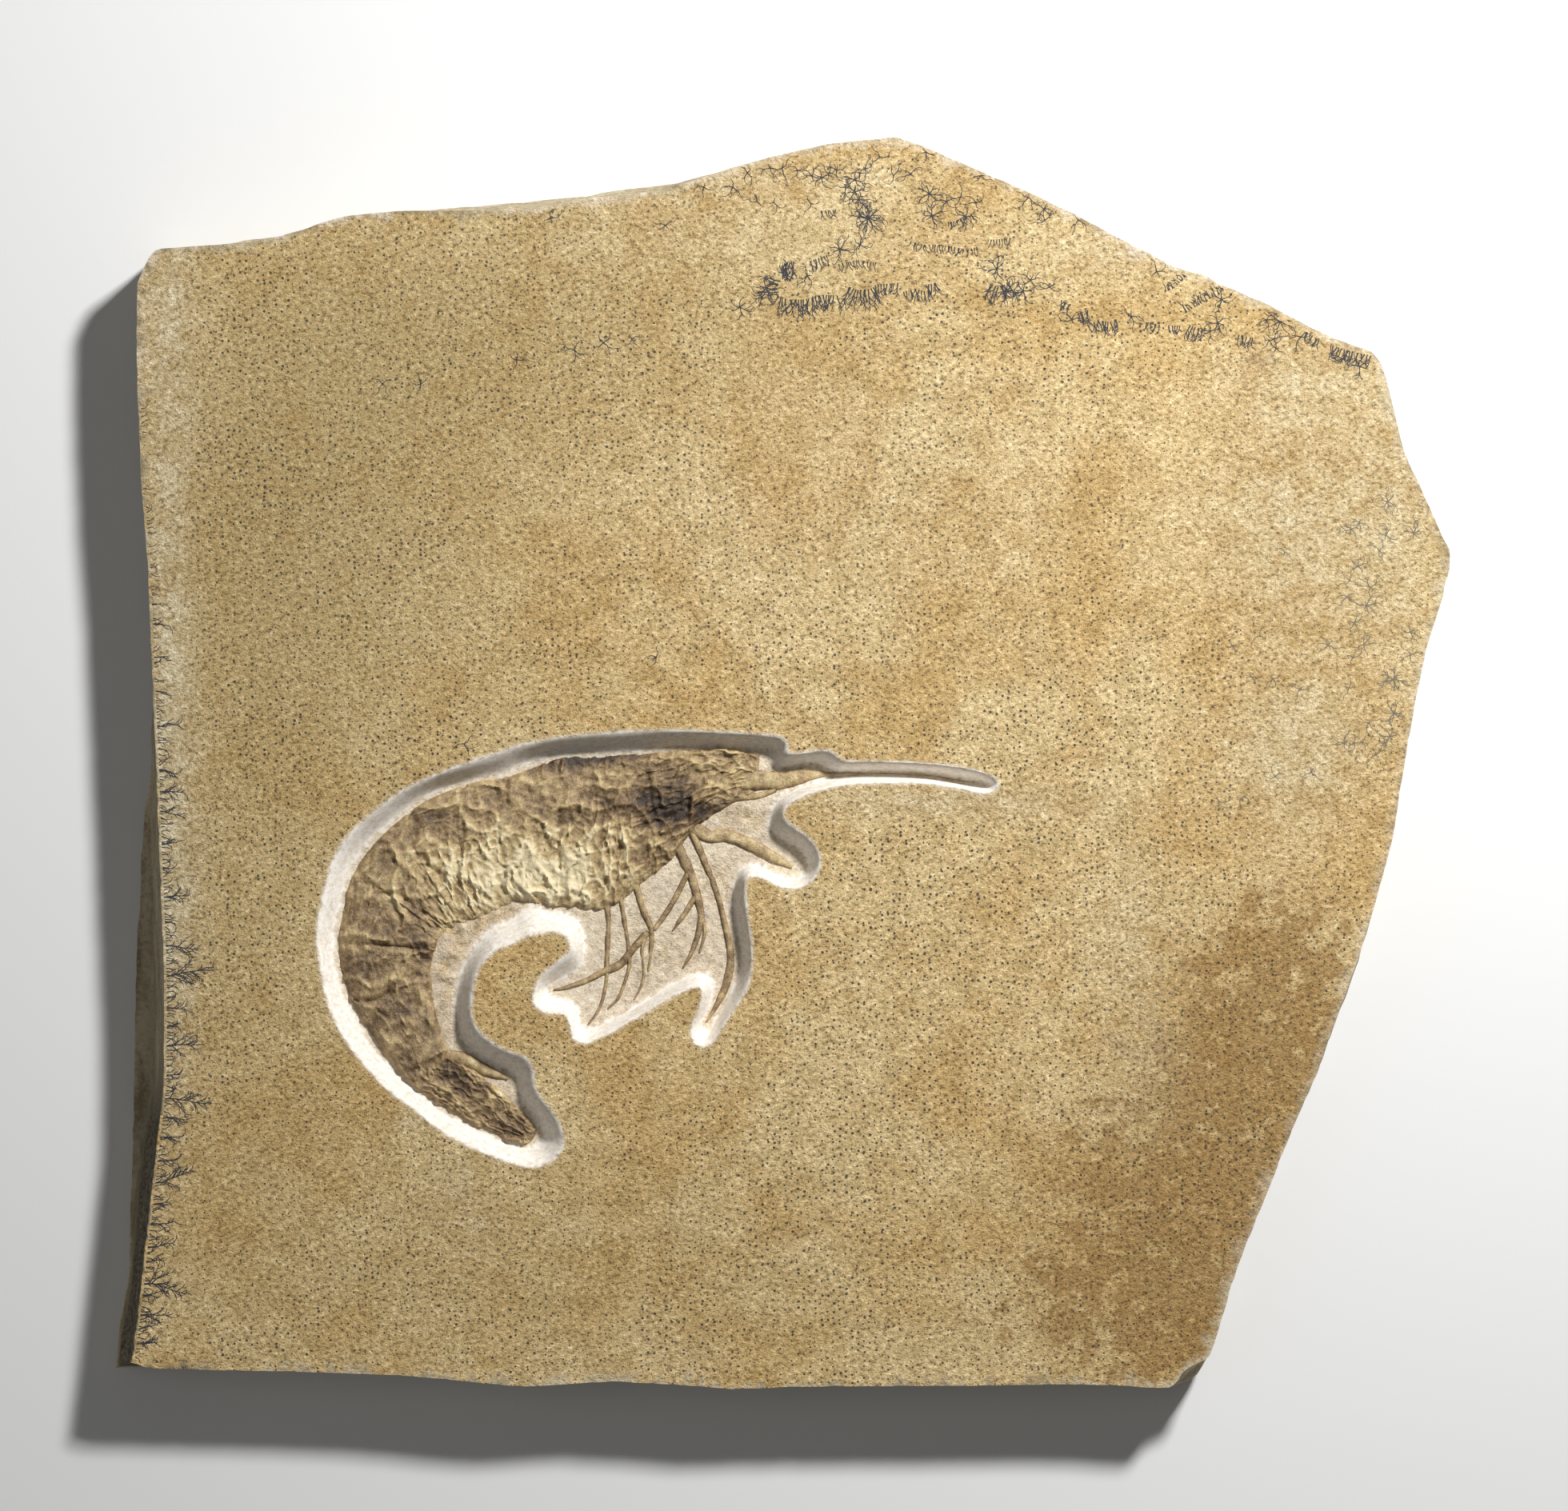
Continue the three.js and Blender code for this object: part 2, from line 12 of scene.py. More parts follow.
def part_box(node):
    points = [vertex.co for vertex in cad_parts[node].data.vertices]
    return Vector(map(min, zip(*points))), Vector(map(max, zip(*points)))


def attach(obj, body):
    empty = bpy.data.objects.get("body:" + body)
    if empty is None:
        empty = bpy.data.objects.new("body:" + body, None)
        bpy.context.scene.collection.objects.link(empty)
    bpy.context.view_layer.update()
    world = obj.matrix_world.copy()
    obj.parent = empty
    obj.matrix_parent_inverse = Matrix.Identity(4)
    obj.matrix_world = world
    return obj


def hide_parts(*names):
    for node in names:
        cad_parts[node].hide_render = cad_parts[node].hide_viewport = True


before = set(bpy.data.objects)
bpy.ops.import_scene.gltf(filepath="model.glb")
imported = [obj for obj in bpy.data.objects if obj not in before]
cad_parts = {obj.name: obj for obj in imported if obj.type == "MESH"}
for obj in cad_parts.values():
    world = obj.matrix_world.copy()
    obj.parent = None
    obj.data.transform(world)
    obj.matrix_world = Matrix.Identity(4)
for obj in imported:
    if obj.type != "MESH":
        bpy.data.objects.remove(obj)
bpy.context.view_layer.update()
bpy.ops.object.select_all(action="DESELECT")

# The slab: one plate of fine-grained limestone, split along its bedding and broken round the edge.
# The recess over the shrimp was abraded with fine powder down to the bedding plane the animal lies on.
MM = 0.001
FACE_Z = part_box("limestone_plate")[1][2] / MM
FLOOR_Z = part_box("fossil_shrimp")[0][2] / MM
SIDE_STEP = 1.4
FACE_STEP = 2.3
FLOOR_STEP = 0.7
BACK_STEP = 5.0
WALL_ROWS = 9
FACE_SWELL = 0.12
HALO_STEPS = (0.35, 0.8, 1.4, 2.2, 3.2)


def lattice(ix, iy, seed):
    """A repeatable value from 0 to 1 for each cell of a square lattice."""
    mixed = ix.astype(np.int64) * 374761393 + iy.astype(np.int64) * 668265263 + seed * 974634599
    mixed = mixed.astype(np.uint32)
    mixed = (mixed ^ (mixed >> np.uint32(13))) * np.uint32(1274126177)
    return ((mixed ^ (mixed >> np.uint32(16))) & np.uint32(0xFFFF)) / 65535.0


def cloud(x, y, size, seed):
    """Smooth noise from about -1 to 1 with lumps of this size in millimetres."""
    x, y = np.asarray(x, float) / size, np.asarray(y, float) / size
    ix, iy = np.floor(x), np.floor(y)
    fx, fy = x - ix, y - iy

    def corner(dx, dy):
        angle = 2 * np.pi * lattice(ix + dx, iy + dy, seed)
        return np.cos(angle) * (fx - dx) + np.sin(angle) * (fy - dy)

    u, v = (f * f * f * (f * (6 * f - 15) + 10) for f in (fx, fy))
    low = corner(0, 0) * (1 - u) + corner(1, 0) * u
    high = corner(0, 1) * (1 - u) + corner(1, 1) * u
    return 1.5 * (low * (1 - v) + high * v)


def rough(x, y, size, seed, octaves=4):
    """Noise summed over octaves, each half the size and half the height of the one before."""
    total = sum(0.5**k * cloud(x, y, size / 2**k, seed + k) for k in range(octaves))
    return total / (2 - 0.5 ** (octaves - 1))


def ridged(x, y, size, seed, octaves=3):
    """Noise with sharp crests from 0 to 1, for wrinkles and cracks."""
    total = sum(0.5**k * (1 - abs(cloud(x, y, size / 2**k, seed + k))) ** 3 for k in range(octaves))
    return total / (2 - 0.5 ** (octaves - 1))


def smooth_step(low, high, value):
    t = np.clip((value - low) / (high - low), 0, 1)
    return t * t * (3 - 2 * t)


def cad_triangles(node):
    """A node's merged corner points in millimetres, and its triangles."""
    mesh = node.data
    points = np.empty(3 * len(mesh.vertices))
    mesh.vertices.foreach_get("co", points)
    corners = np.empty(3 * len(mesh.polygons), int)
    mesh.polygons.foreach_get("vertices", corners)
    points = np.round(points.reshape(-1, 3) / MM, 3)
    merged, index = np.unique(points, axis=0, return_inverse=True)
    return merged, index.ravel()[corners].reshape(-1, 3)


def chain(edges):
    """Loops of points from directed edges that have no twin."""
    following = {a: b for a, b in edges if (b, a) not in edges}
    loops = []
    while following:
        at = min(following)
        loop = []
        while at in following:
            loop.append(at)
            at = following.pop(at)
        loops.append(loop)
    return loops


def flat_loops(points, triangles, height):
    """Outlines of the flat face at a height, the widest first."""
    level = abs(points[triangles][:, :, 2] - height) < 0.01
    edges = {(t[k], t[(k + 1) % 3]) for t in triangles[level.all(axis=1)] for k in range(3)}
    loops = [points[loop] for loop in chain(edges)]
    return sorted(loops, key=lambda loop: -np.ptp(loop[:, 0]))


def walk(ring, at):
    """Points on a closed line at fractional positions along its corners."""
    closed = np.vstack([ring, ring[:1]])
    places = np.arange(len(closed))
    return np.stack([np.interp(at, places, closed[:, k]) for k in range(closed.shape[1])], axis=1)


def curve_walk(ring, at):
    """Points on a smooth closed curve through the corners at fractional positions."""
    n = len(ring)
    i = np.floor(at).astype(int)
    t = (at - i)[:, None]
    p0, p1, p2, p3 = (ring[(i + k) % n] for k in (-1, 0, 1, 2))
    return 0.5 * (2 * p1 + (p2 - p0) * t + (2 * p0 - 5 * p1 + 4 * p2 - p3) * t**2
                  + (3 * p1 - p0 - 3 * p2 + p3) * t**3)


def even_places(ring, step):
    """Fractional positions on a closed line that are about a step apart."""
    closed = np.vstack([ring, ring[:1]])
    lengths = np.concatenate([[0], np.cumsum(np.hypot(*np.diff(closed[:, :2], axis=0).T))])
    count = round(lengths[-1] / step)
    return np.interp(np.arange(count) * lengths[-1] / count, lengths, np.arange(len(closed)))


def outward(ring):
    """Unit normals on the right of a closed line."""
    along = np.roll(ring, -1, axis=0) - np.roll(ring, 1, axis=0)
    normal = np.stack([along[:, 1], -along[:, 0]], axis=1)
    return normal / np.linalg.norm(normal, axis=1, keepdims=True)


def within(ring, x, y):
    """Which points lie inside a closed line."""
    inside = np.zeros(len(x), bool)
    for (x1, y1), (x2, y2) in zip(ring, np.roll(ring, -1, axis=0)):
        if y1 != y2:
            crosses = (y1 > y) != (y2 > y)
            inside ^= crosses & (x < x1 + (y - y1) / (y2 - y1) * (x2 - x1))
    return inside


def distance_to(line, x, y, closed=False):
    """Distance from each point to a line of points."""
    ends = np.roll(line, -1, axis=0) if closed else line[1:]
    nearest = np.full(np.shape(x), np.inf)
    for (x1, y1), (x2, y2) in zip(line, ends):
        dx, dy = x2 - x1, y2 - y1
        t = np.clip(((x - x1) * dx + (y - y1) * dy) / (dx * dx + dy * dy + 1e-12), 0, 1)
        nearest = np.minimum(nearest, np.hypot(x - x1 - t * dx, y - y1 - t * dy))
    return nearest


def spread(low, high, step, seed):
    """Uneven scatter of points about a step apart over a box."""
    xs, ys = np.meshgrid(np.arange(low[0], high[0], step), np.arange(low[1], high[1], step * 0.87))
    xs = xs + 0.5 * step * (np.arange(xs.shape[0]) % 2)[:, None]
    shift = np.random.default_rng(seed).uniform(-0.3, 0.3, (2, *xs.shape)) * step
    return (xs + shift[0]).ravel(), (ys + shift[1]).ravel()


def face_height(x, y):
    """The bedding plane is split, not cut, so it swells a little."""
    return FACE_Z - FACE_SWELL * (0.5 + 0.5 * rough(x, y, 14, 5))


points, triangles = cad_triangles(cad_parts["limestone_plate"])
edge_ring, rim_ring = (loop[:, :2] for loop in flat_loops(points, triangles, FACE_Z))
foot_ring = flat_loops(points, triangles, FLOOR_Z)[0][:, :2]
rim_ring = rim_ring[::-1]


def level_ring(height):
    """The slab's outline at one of the solid's levels, point for point beside the edge of the face."""
    z = points[:, 2]
    turns = [(t[k], t[(k + 1) % 3], t[(k + 2) % 3]) for t in triangles for k in range(3)]
    edges = {(a, b) for a, b, c in turns if z[a] == z[b] == height and z[c] > height}
    ring = points[chain(edges)[0]][:, :2]
    shifts = [abs(np.roll(ring, -k, axis=0) - edge_ring).sum() for k in range(len(ring))]
    return np.roll(ring, -int(np.argmin(shifts)), axis=0)


# The broken side, from the back up to the edge of the face, with rows between the solid's levels
SIDE_ROWS = (3, 6, 4, 5, 6)
side_levels = [z for z in np.unique(points[:, 2]) if abs(z - FLOOR_Z) > 0.01]
side_at = even_places(edge_ring, SIDE_STEP)
side_rings = [walk(level_ring(z) if z < FACE_Z - 0.01 else edge_ring, side_at) for z in side_levels]
side_out = outward(walk(edge_ring, side_at))
side_run = np.arange(len(side_at)) * SIDE_STEP
side_sheet = []
for k, rows in enumerate(SIDE_ROWS):
    for row in range(rows + (k == len(SIDE_ROWS) - 1)):
        share = row / rows
        z = side_levels[k] * (1 - share) + side_levels[k + 1] * share
        ring = side_rings[k] * (1 - share) + side_rings[k + 1] * share
        depth = 0.35 * (1 + rough(side_run, 2.4 * z, 9, 21)) + 0.4 * rough(0.12 * side_run, z, 1.6, 27)
        depth += 0.16 * rough(side_run, 2 * z, 3, 33)
        # The edge of the face is nipped by small chips, and the back edge stays on the ground plan
        at_face = smooth_step(FACE_Z - 2.5, FACE_Z, z)
        chips = np.clip(rough(side_run, 0 * side_run, 5, 39), 0, 1)
        depth = depth * (1 - at_face) + (0.15 + 0.5 * chips) * at_face
        ring = ring - side_out * depth[:, None]
        lift = 0.25 * rough(side_run, 3 * z, 4, 45) if 0.5 < z < FACE_Z - 1 else 0 * side_run
        side_sheet.append(np.column_stack([ring, z + lift]))
side_sheet[-1][:, 2] = face_height(*side_sheet[-1][:, :2].T)
side_sheet = np.array(side_sheet)


def sheet_faces(rows, columns, closed):
    """Quads between the rows of a sheet, numbered row by row."""
    i, j = np.meshgrid(np.arange(rows - 1), np.arange(columns - (not closed)), indexing="ij")
    after = (j + 1) % columns
    here, above = i * columns, (i + 1) * columns
    return np.stack([here + j, here + after, above + after, above + j], axis=-1).reshape(-1, 4)


# The wall of the recess: its solid joins rim and foot by triangles, whose cross edges pair the two curves
def wall_pairs():
    """Fractional positions on the rim and on the foot that face each other, evenly round the recess."""
    def place(ring, height):
        found = {}
        for i, p in enumerate(points):
            gaps = abs(ring - p[:2]).sum(axis=1)
            if abs(p[2] - height) < 0.01 and gaps.min() < 0.01:
                found[i] = int(np.argmin(gaps))
        return found

    on_rim, on_foot = place(rim_ring, FACE_Z), place(foot_ring, FLOOR_Z)
    corner_pairs = ((a, b) for t in triangles for a in t for b in t)
    crossing = {(on_rim[a], on_foot[b]) for a, b in corner_pairs if a in on_rim and b in on_foot}
    n_rim, n_foot = len(rim_ring), len(foot_ring)
    start = min(crossing)
    pairs = []
    for r, f in crossing:
        r, f = (r - start[0]) % n_rim, (f - start[1]) % n_foot
        if r / n_rim - f / n_foot > 0.5:
            f += n_foot
        if f / n_foot - r / n_rim > 0.5:
            r += n_rim
        pairs.append((r, f))
    pairs = np.array(sorted(pairs, key=sum), float)
    count = len(pairs)
    even = np.arange(count)[:, None] * np.array([n_rim, n_foot]) / count
    slack = pairs - even
    window = range(-5, 6)
    slack = sum(np.roll(slack, k, axis=0) for k in window) / len(window)
    closed = np.vstack([even + slack, (even + slack)[:1] + [n_rim, n_foot]])
    fine = np.arange(0, count, 0.5)
    return [(np.interp(fine, np.arange(count + 1), closed[:, k]) + start[k]) % n
            for k, n in ((0, n_rim), (1, n_foot))]


rim_at, foot_at = wall_pairs()
rim_line, foot_line = curve_walk(rim_ring, rim_at), curve_walk(foot_ring, foot_at)
wall_run = np.concatenate([[0], np.cumsum(np.hypot(*np.diff(rim_line, axis=0).T))])
rim_line = rim_line + outward(rim_line) * (0.12 * rough(wall_run, 0 * wall_run, 2.5, 51))[:, None]
wall_sheet = []
for row in range(WALL_ROWS + 1):
    share = row / WALL_ROWS
    # The powder jet rounds the lip and leaves a small fillet at the foot
    drop = 0.45 * share + 0.55 * (0.5 - 0.5 * math.cos(math.pi * share))
    line = rim_line * (1 - share) + foot_line * share
    ripple = 0.12 * math.sin(math.pi * share) * rough(wall_run, 3 * share + 0 * wall_run, 2.2, 57)
    z = face_height(*rim_line.T) * (1 - drop) + FLOOR_Z * drop + ripple
    wall_sheet.append(np.column_stack([line, z]))
wall_sheet = np.array(wall_sheet)

# Dendrites: films of manganese oxide that grew along the bedding plane from cracks and from the edge.
# They are only colour, so they are faces of the slab's own surface with a finish of their own.
COMBS = [
    # a line that short stems hang from on its right-hand side, and how long they are
    ([(1.5, 101.5), (0, 100.5), (-0.8, 99), (-0.5, 97.5), (0.8, 96.8), (2.5, 96.6), (4.5, 96.6),
      (6.5, 96.9)], 3.3),
    ([(3.5, 101.4), (2, 100.4), (0.5, 100.6)], 2.4),
    ([(6.5, 97.2), (9, 97.6), (12, 97.4)], 2.6),
    ([(14, 99.4), (16, 98.6), (18.5, 98.8), (20, 99.5)], 3.5),
    ([(20, 99.8), (24.5, 100)], 2.1),
    ([(25.5, 98.2), (28, 98.9), (30, 98.3)], 1.9),
    ([(30, 99.6), (32.5, 100.2)], 2.3),
    ([(6, 104.6), (9.5, 105.8)], 1.6),
    ([(12, 104), (16, 104.8), (20, 104.3)], 0.8),
    ([(0.5, 104), (3.2, 104.6)], 1.3),
    ([(7.8, 115), (11.5, 115.3)], 0.9),
    ([(27, 108.7), (30, 108), (33, 108), (36, 107.6), (38.5, 106.9), (41, 107.6)], 1),
    ([(43.5, 109), (48, 109.4)], 0.9),
    ([(34.5, 112.7), (37, 113), (39.7, 114.4)], 1),
    ([(43.6, 100), (45.5, 99.2), (47.6, 100.4)], 3.4),
    ([(58.2, 96.6), (60.5, 95.6)], 1.5),
    ([(61.5, 93.7), (64, 94.4)], 1.9),
    ([(63.8, 91.3), (66, 92.3), (68.5, 91.9), (70.2, 92.7)], 2.5),
    ([(76, 91.9), (79, 91.3)], 1.3),
    ([(80.5, 91.3), (83.5, 91.1)], 1.2),
    ([(85, 91.2), (88, 90.4)], 2.6),
    ([(95, 89.3), (98.5, 88.6)], 1.9),
    ([(92.4, 98.6), (89, 96.5), (86, 94.8), (84, 93.5)], 1.3),
    ([(84.6, 101.6), (82, 99), (80, 98)], 1),
    ([(109.3, 90), (112.6, 88)], 1.6),
    ([(114.5, 87.2), (118, 86), (123, 84.9)], 2.5),
]
BUSHES = [
    # a point that stems spread from, how long they are and how many
    (-3, 99, 2.1, 6), (-4, 97, 1.9, 5), (-8.5, 95, 1.8, 6), (12.3, 107, 1.9, 8), (16.5, 108, 1.5, 6),
    (5.5, 101.5, 1.2, 6), (15.5, 121.5, 1.8, 6), (15.4, 119, 1.8, 6), (16.2, 117.4, 1.8, 6),
    (17.2, 116.4, 1.6, 5),
    (18.2, 113.5, 2.6, 14), (16.3, 113.8, 1.6, 6), (13.5, 120, 1.6, 4), (6.5, 122.3, 1.4, 5),
    (8.5, 122, 1.5, 6),
    (10, 122.8, 1.2, 4), (11.6, 123.5, 1.2, 4), (16.5, 122.9, 1.3, 4), (17.6, 123.8, 1.2, 4),
    (3.5, 123.5, 1.2, 4),
    (0.3, 124, 1.1, 4), (-2.2, 124, 1.3, 4), (-7, 123, 1.3, 4), (-5, 117, 1.3, 3), (-1.5, 116.8, 1.3, 3),
    (6.3, 116.5, 1.2, 3), (20.6, 126.3, 1, 3), (23.5, 122.4, 1.4, 3), (27, 122.7, 1.3, 4),
    (30.3, 127.3, 1.7, 6),
    (31, 118.6, 2.3, 7), (34.5, 117, 1.8, 5), (37.5, 118, 1.4, 4), (40.6, 116.8, 1.4, 4),
    (31.5, 114, 2.1, 8),
    (38.4, 113.9, 1.7, 7), (45, 103, 1.9, 7), (45.3, 105.5, 1.1, 4), (47, 98.4, 2.4, 12),
    (50.5, 98.4, 2, 6),
    (52, 100.6, 1.5, 5), (41.6, 122.4, 1.5, 5), (51.6, 117.9, 2, 5), (54.8, 115.4, 1.9, 5),
    (54.9, 113, 1.3, 3),
    (62, 113.2, 1.4, 4), (56, 99.2, 1.3, 4), (60.6, 92.4, 1.6, 5), (73, 93, 1.5, 5), (89.5, 90, 1.8, 5),
    (91, 91.7, 1.7, 6), (91.8, 96.6, 2.3, 6), (78.3, 102.4, 1.5, 4), (104, 92, 2.6, 8),
    (101.2, 92.3, 1.6, 5),
    (102.8, 88.4, 1.6, 5), (103.2, 86.4, 1, 4), (108.4, 88.8, 1.8, 4), (117, 84.2, 1.7, 5),
    (120.6, 82.6, 2, 5),
    (126.5, 54.5, 1.5, 6), (120.5, 50, 1.1, 5), (118.8, 48.7, 1.4, 6), (126, 47.5, 1.5, 5),
    (124.7, 44.3, 1, 4),
    (131.8, 48, 1.8, 6), (132.2, 50.4, 1, 4), (120.3, 41, 1.3, 5), (118.5, 38, 1, 4),
    (122.8, 36.6, 1.4, 5),
    (118, 34.6, 1.1, 4), (122, 32.8, 1.7, 7), (119.5, 29.2, 1.5, 5), (114, 24.6, 1.4, 6),
    (121.5, 24.7, 1.3, 5),
    (119.2, 22, 1, 4), (131.2, 27.3, 1.6, 5), (131.2, 22.5, 1.4, 4), (127.6, 17.4, 2, 8),
    (125.8, 17, 1, 4),
    (118.3, 15.6, 1.1, 4), (127.8, 10.4, 1.9, 7), (122.5, 8.4, 1.1, 4), (127, 5.6, 1.8, 7),
    (125.8, 4.2, 1.2, 5),
    (117.3, 4.2, 1.4, 6), (119.5, 4.2, 1.2, 5), (124, 1.8, 1.1, 4), (110.5, -2, 1, 4),
    (103, -2.8, 1.1, 4),
    (98, 18, 1, 4), (102.6, 17.5, 1.2, 4), (108.2, 15.4, 0.9, 4), (94, 24.5, 1.1, 4), (96.5, -7, 0.9, 3),
    (91.3, -8, 0.9, 3), (99.8, 26.5, 1, 3), (105, 44, 1, 3), (-83, 79, 1.2, 4), (-75, 79, 1.3, 4),
    (-55, 84, 1.2, 4), (-43, 86, 1.4, 4), (-37, 87.6, 1.2, 4), (-31, 88.4, 1.2, 4), (-16, 120, 1.1, 4),
    (-10, 120, 1.1, 4), (-24, 112, 1, 4), (-48, 113.5, 1.2, 4), (-66, 4, 1.2, 3), (-26, 22, 0.8, 3),
]
# Trees that grow in from the left edge: height on the slab and how far they reach
EDGE_TREES = [
    (33, 2), (29, 3.6), (22, 3.6), (15, 2.5), (7.5, 4.4), (3, 2.2), (-1.5, 4.6), (-6, 4.8),
    (-10, 4.8), (-17, 3),
    (-22, 2.2), (-28, 5.2), (-33, 2.5), (-38, 7), (-44.5, 9.4), (-51, 4), (-55, 2.5), (-59, 7.6),
    (-65, 3),
    (-70, 9), (-74, 5), (-78, 4.8), (-83, 4), (-87.5, 8), (-92, 3), (-96, 4.8), (-101, 5.6), (-104, 4),
    (-108.5, 9), (-111, 4.6), (-115, 6.2), (-118, 4), (-121, 4.4),
]
TWIG_STEP = 0.5
STEM_GAP = 0.55
FRINGE_GAP = 0.75
random.seed(11)
twigs = []


def grow(x, y, heading, length, width, forks):
    """Grows a twig with side twigs and keeps its line and width."""
    steps = max(2, round(length / TWIG_STEP))
    line = [(x, y)]
    for k in range(1, steps + 1):
        heading += random.gauss(0, 0.08)
        x += TWIG_STEP * math.cos(heading)
        y += TWIG_STEP * math.sin(heading)
        line.append((x, y))
        left = length * (1 - k / (steps + 1))
        if forks and k > 1 and random.random() < 0.72:
            turn = random.choice((-1, 1)) * random.uniform(0.45, 0.8)
            grow(x, y, heading + turn, max(left * random.uniform(0.35, 0.7), 0.5), 0.8 * width, forks - 1)
    twigs.append((line, width))


for line, reach in COMBS:
    for (x1, y1), (x2, y2) in zip(line, line[1:]):
        span = math.hypot(x2 - x1, y2 - y1)
        for k in range(max(2, round(span / STEM_GAP))):
            t = (k + random.random()) / max(2, round(span / STEM_GAP))
            heading = math.atan2(y2 - y1, x2 - x1) - math.pi / 2 + random.gauss(0, 0.2)
            grow(x1 + t * (x2 - x1), y1 + t * (y2 - y1), heading, reach * random.uniform(0.75, 1.2), 0.3, 1)
for x, y, reach, stems in BUSHES:
    start = random.uniform(0, 2 * math.pi)
    for k in range(stems):
        heading = start + 2 * math.pi * (k + random.uniform(-0.3, 0.3)) / stems
        grow(x, y, heading, reach * random.uniform(0.6, 1.2), 0.27, 2)
left_edge = edge_ring[edge_ring[:, 0] < -127]
left_edge = left_edge[np.argsort(left_edge[:, 1])]
for y in np.arange(-123.5, 74, FRINGE_GAP):
    x = np.interp(y, left_edge[:, 1], left_edge[:, 0]) + 0.75
    density = 1 if y < 0 else 0.75 - y / 150
    if random.random() < density:
        low = y + random.uniform(-0.3, 0.3)
        heading = random.gauss(0, 0.3)
        grow(x, low, heading, random.uniform(0.6, 2.2) * density, 0.26, 1)
for y, reach in EDGE_TREES:
    x = np.interp(y, left_edge[:, 1], left_edge[:, 0]) + 0.7
    grow(x, y, random.gauss(0, 0.12), reach, 0.32, 2)


def ribbon(line, width):
    """Two sides of a twig, drawn in to a thin tip."""
    line = np.array(line)
    along = np.gradient(line, axis=0)
    across = np.stack([-along[:, 1], along[:, 0]], axis=1) / np.linalg.norm(along, axis=1, keepdims=True)
    half = 0.5 * width * np.linspace(1, 0.45, len(line))[:, None]
    return line + across * half, line - across * half


# The face between the broken edge and the rim, triangulated so that every film lies in it
def scattered(ring, hole, step, seed, margin):
    """Scatter inside a ring and outside a hole, clear of both."""
    x, y = spread(ring.min(axis=0), ring.max(axis=0), step, seed)
    keep = within(ring, x, y) & (distance_to(ring, x, y, closed=True) > margin)
    if hole is not None:
        keep &= ~within(hole, x, y) & (distance_to(hole, x, y, closed=True) > margin)
    return np.column_stack([x, y])[keep]


def triangulate(rings, loose, faces=()):
    """Corner points, triangles and the input faces of each triangle inside the first ring and no other."""
    flat = [Vector(p) for ring in rings for p in ring] + [Vector(p) for p in loose]
    ring_faces = []
    start = 0
    for ring in rings:
        ring_faces.append(list(range(start, start + len(ring))))
        start += len(ring)
    corners, _, cells, _, _, owners = delaunay_2d_cdt(flat, [], ring_faces + list(faces), 0, 1e-5, True)
    holes = range(1, len(rings))
    kept = [(c, o) for c, o in zip(cells, owners) if 0 in o and not any(k in o for k in holes)]
    return np.array([c[:] for c in corners]), [c for c, _ in kept], [o for _, o in kept]


face_edge, face_rim = side_sheet[-1][:, :2], wall_sheet[0][:, :2]
sides = [np.vstack(ribbon(line, width)) for line, width in twigs]
owner_twig = np.repeat(np.arange(len(sides)), [len(both) for both in sides])
every = np.vstack(sides)
stray = ~within(face_edge, *every.T) | within(face_rim, *every.T)
stray |= distance_to(face_edge, *every.T, closed=True) < 0.2
stray |= distance_to(face_rim, *every.T, closed=True) < 0.2
cut_twigs = set(owner_twig[stray])
film_points, film_faces = [], []
first = len(face_edge) + len(face_rim)
for k, both in enumerate(sides):
    if k not in cut_twigs:
        n = len(both) // 2
        base = first + len(film_points)
        film_points.extend(both)
        film_faces.extend((base + n + i, base + n + i + 1, base + i + 1, base + i) for i in range(n - 1))
halo = np.vstack([face_rim + outward(face_rim) * d for d in HALO_STEPS])
clear = ~within(face_rim, *halo.T) & (distance_to(face_rim, *halo.T, closed=True) > 0.25)
loose = np.vstack([film_points, halo[clear], scattered(face_edge, face_rim, FACE_STEP, 3, 1.0)])
face_points, face_cells, face_owners = triangulate([face_edge, face_rim], loose, film_faces)
is_film = [any(k >= 2 for k in owner) for owner in face_owners]


# The floor of the recess and the back, both closed to the walls
floor_points, floor_cells, _ = triangulate([foot_line], scattered(foot_line, None, FLOOR_STEP, 5, 0.3))
inset = distance_to(foot_line, *floor_points.T, closed=True)
floor_z = FLOOR_Z - 0.1 * smooth_step(0, 1.5, inset) * (1 + rough(*floor_points.T, 3, 63))


def blobs(x, y, table):
    """Soft patches, each a centre, two half-widths and a strength."""
    return sum(w * np.exp(-((x - cx) / rx) ** 2 - ((y - cy) / ry) ** 2) for cx, cy, rx, ry, w in table)


# Beside the belly and among the legs a skin of crumpled shell and stone is left on the floor
LEFT_ON = [(-69, -44, 4, 12, 1), (-62, -34, 10, 4, 1), (-50, -32, 8, 3, 0.8), (-26, -38, 13, 10, 0.6),
           (-8, -11, 7, 4, 0.8), (-14, -24, 8, 6, 0.5), (-57, -68, 4, 3, 0.6)]
left_on = np.clip(blobs(*floor_points.T, LEFT_ON), 0, 1) * smooth_step(0.2, 1.6, inset)
floor_z += left_on * (0.9 * ridged(*floor_points.T, 5, 65) - 0.2 + 0.35 * rough(*floor_points.T, 2, 71))
floor_cut = 0.55 - 0.5 * left_on * ridged(*floor_points.T, 7, 67)
back_line = side_sheet[0][:, :2]
back_points, back_cells, _ = triangulate([back_line], scattered(back_line, None, BACK_STEP, 7, 1.0))

rim_gap = distance_to(face_rim, *face_points.T, closed=True)
dust = 0.5 * (1 - smooth_step(0.0, 0.7, rim_gap + 0.4 * rough(*face_points.T, 3, 69)))
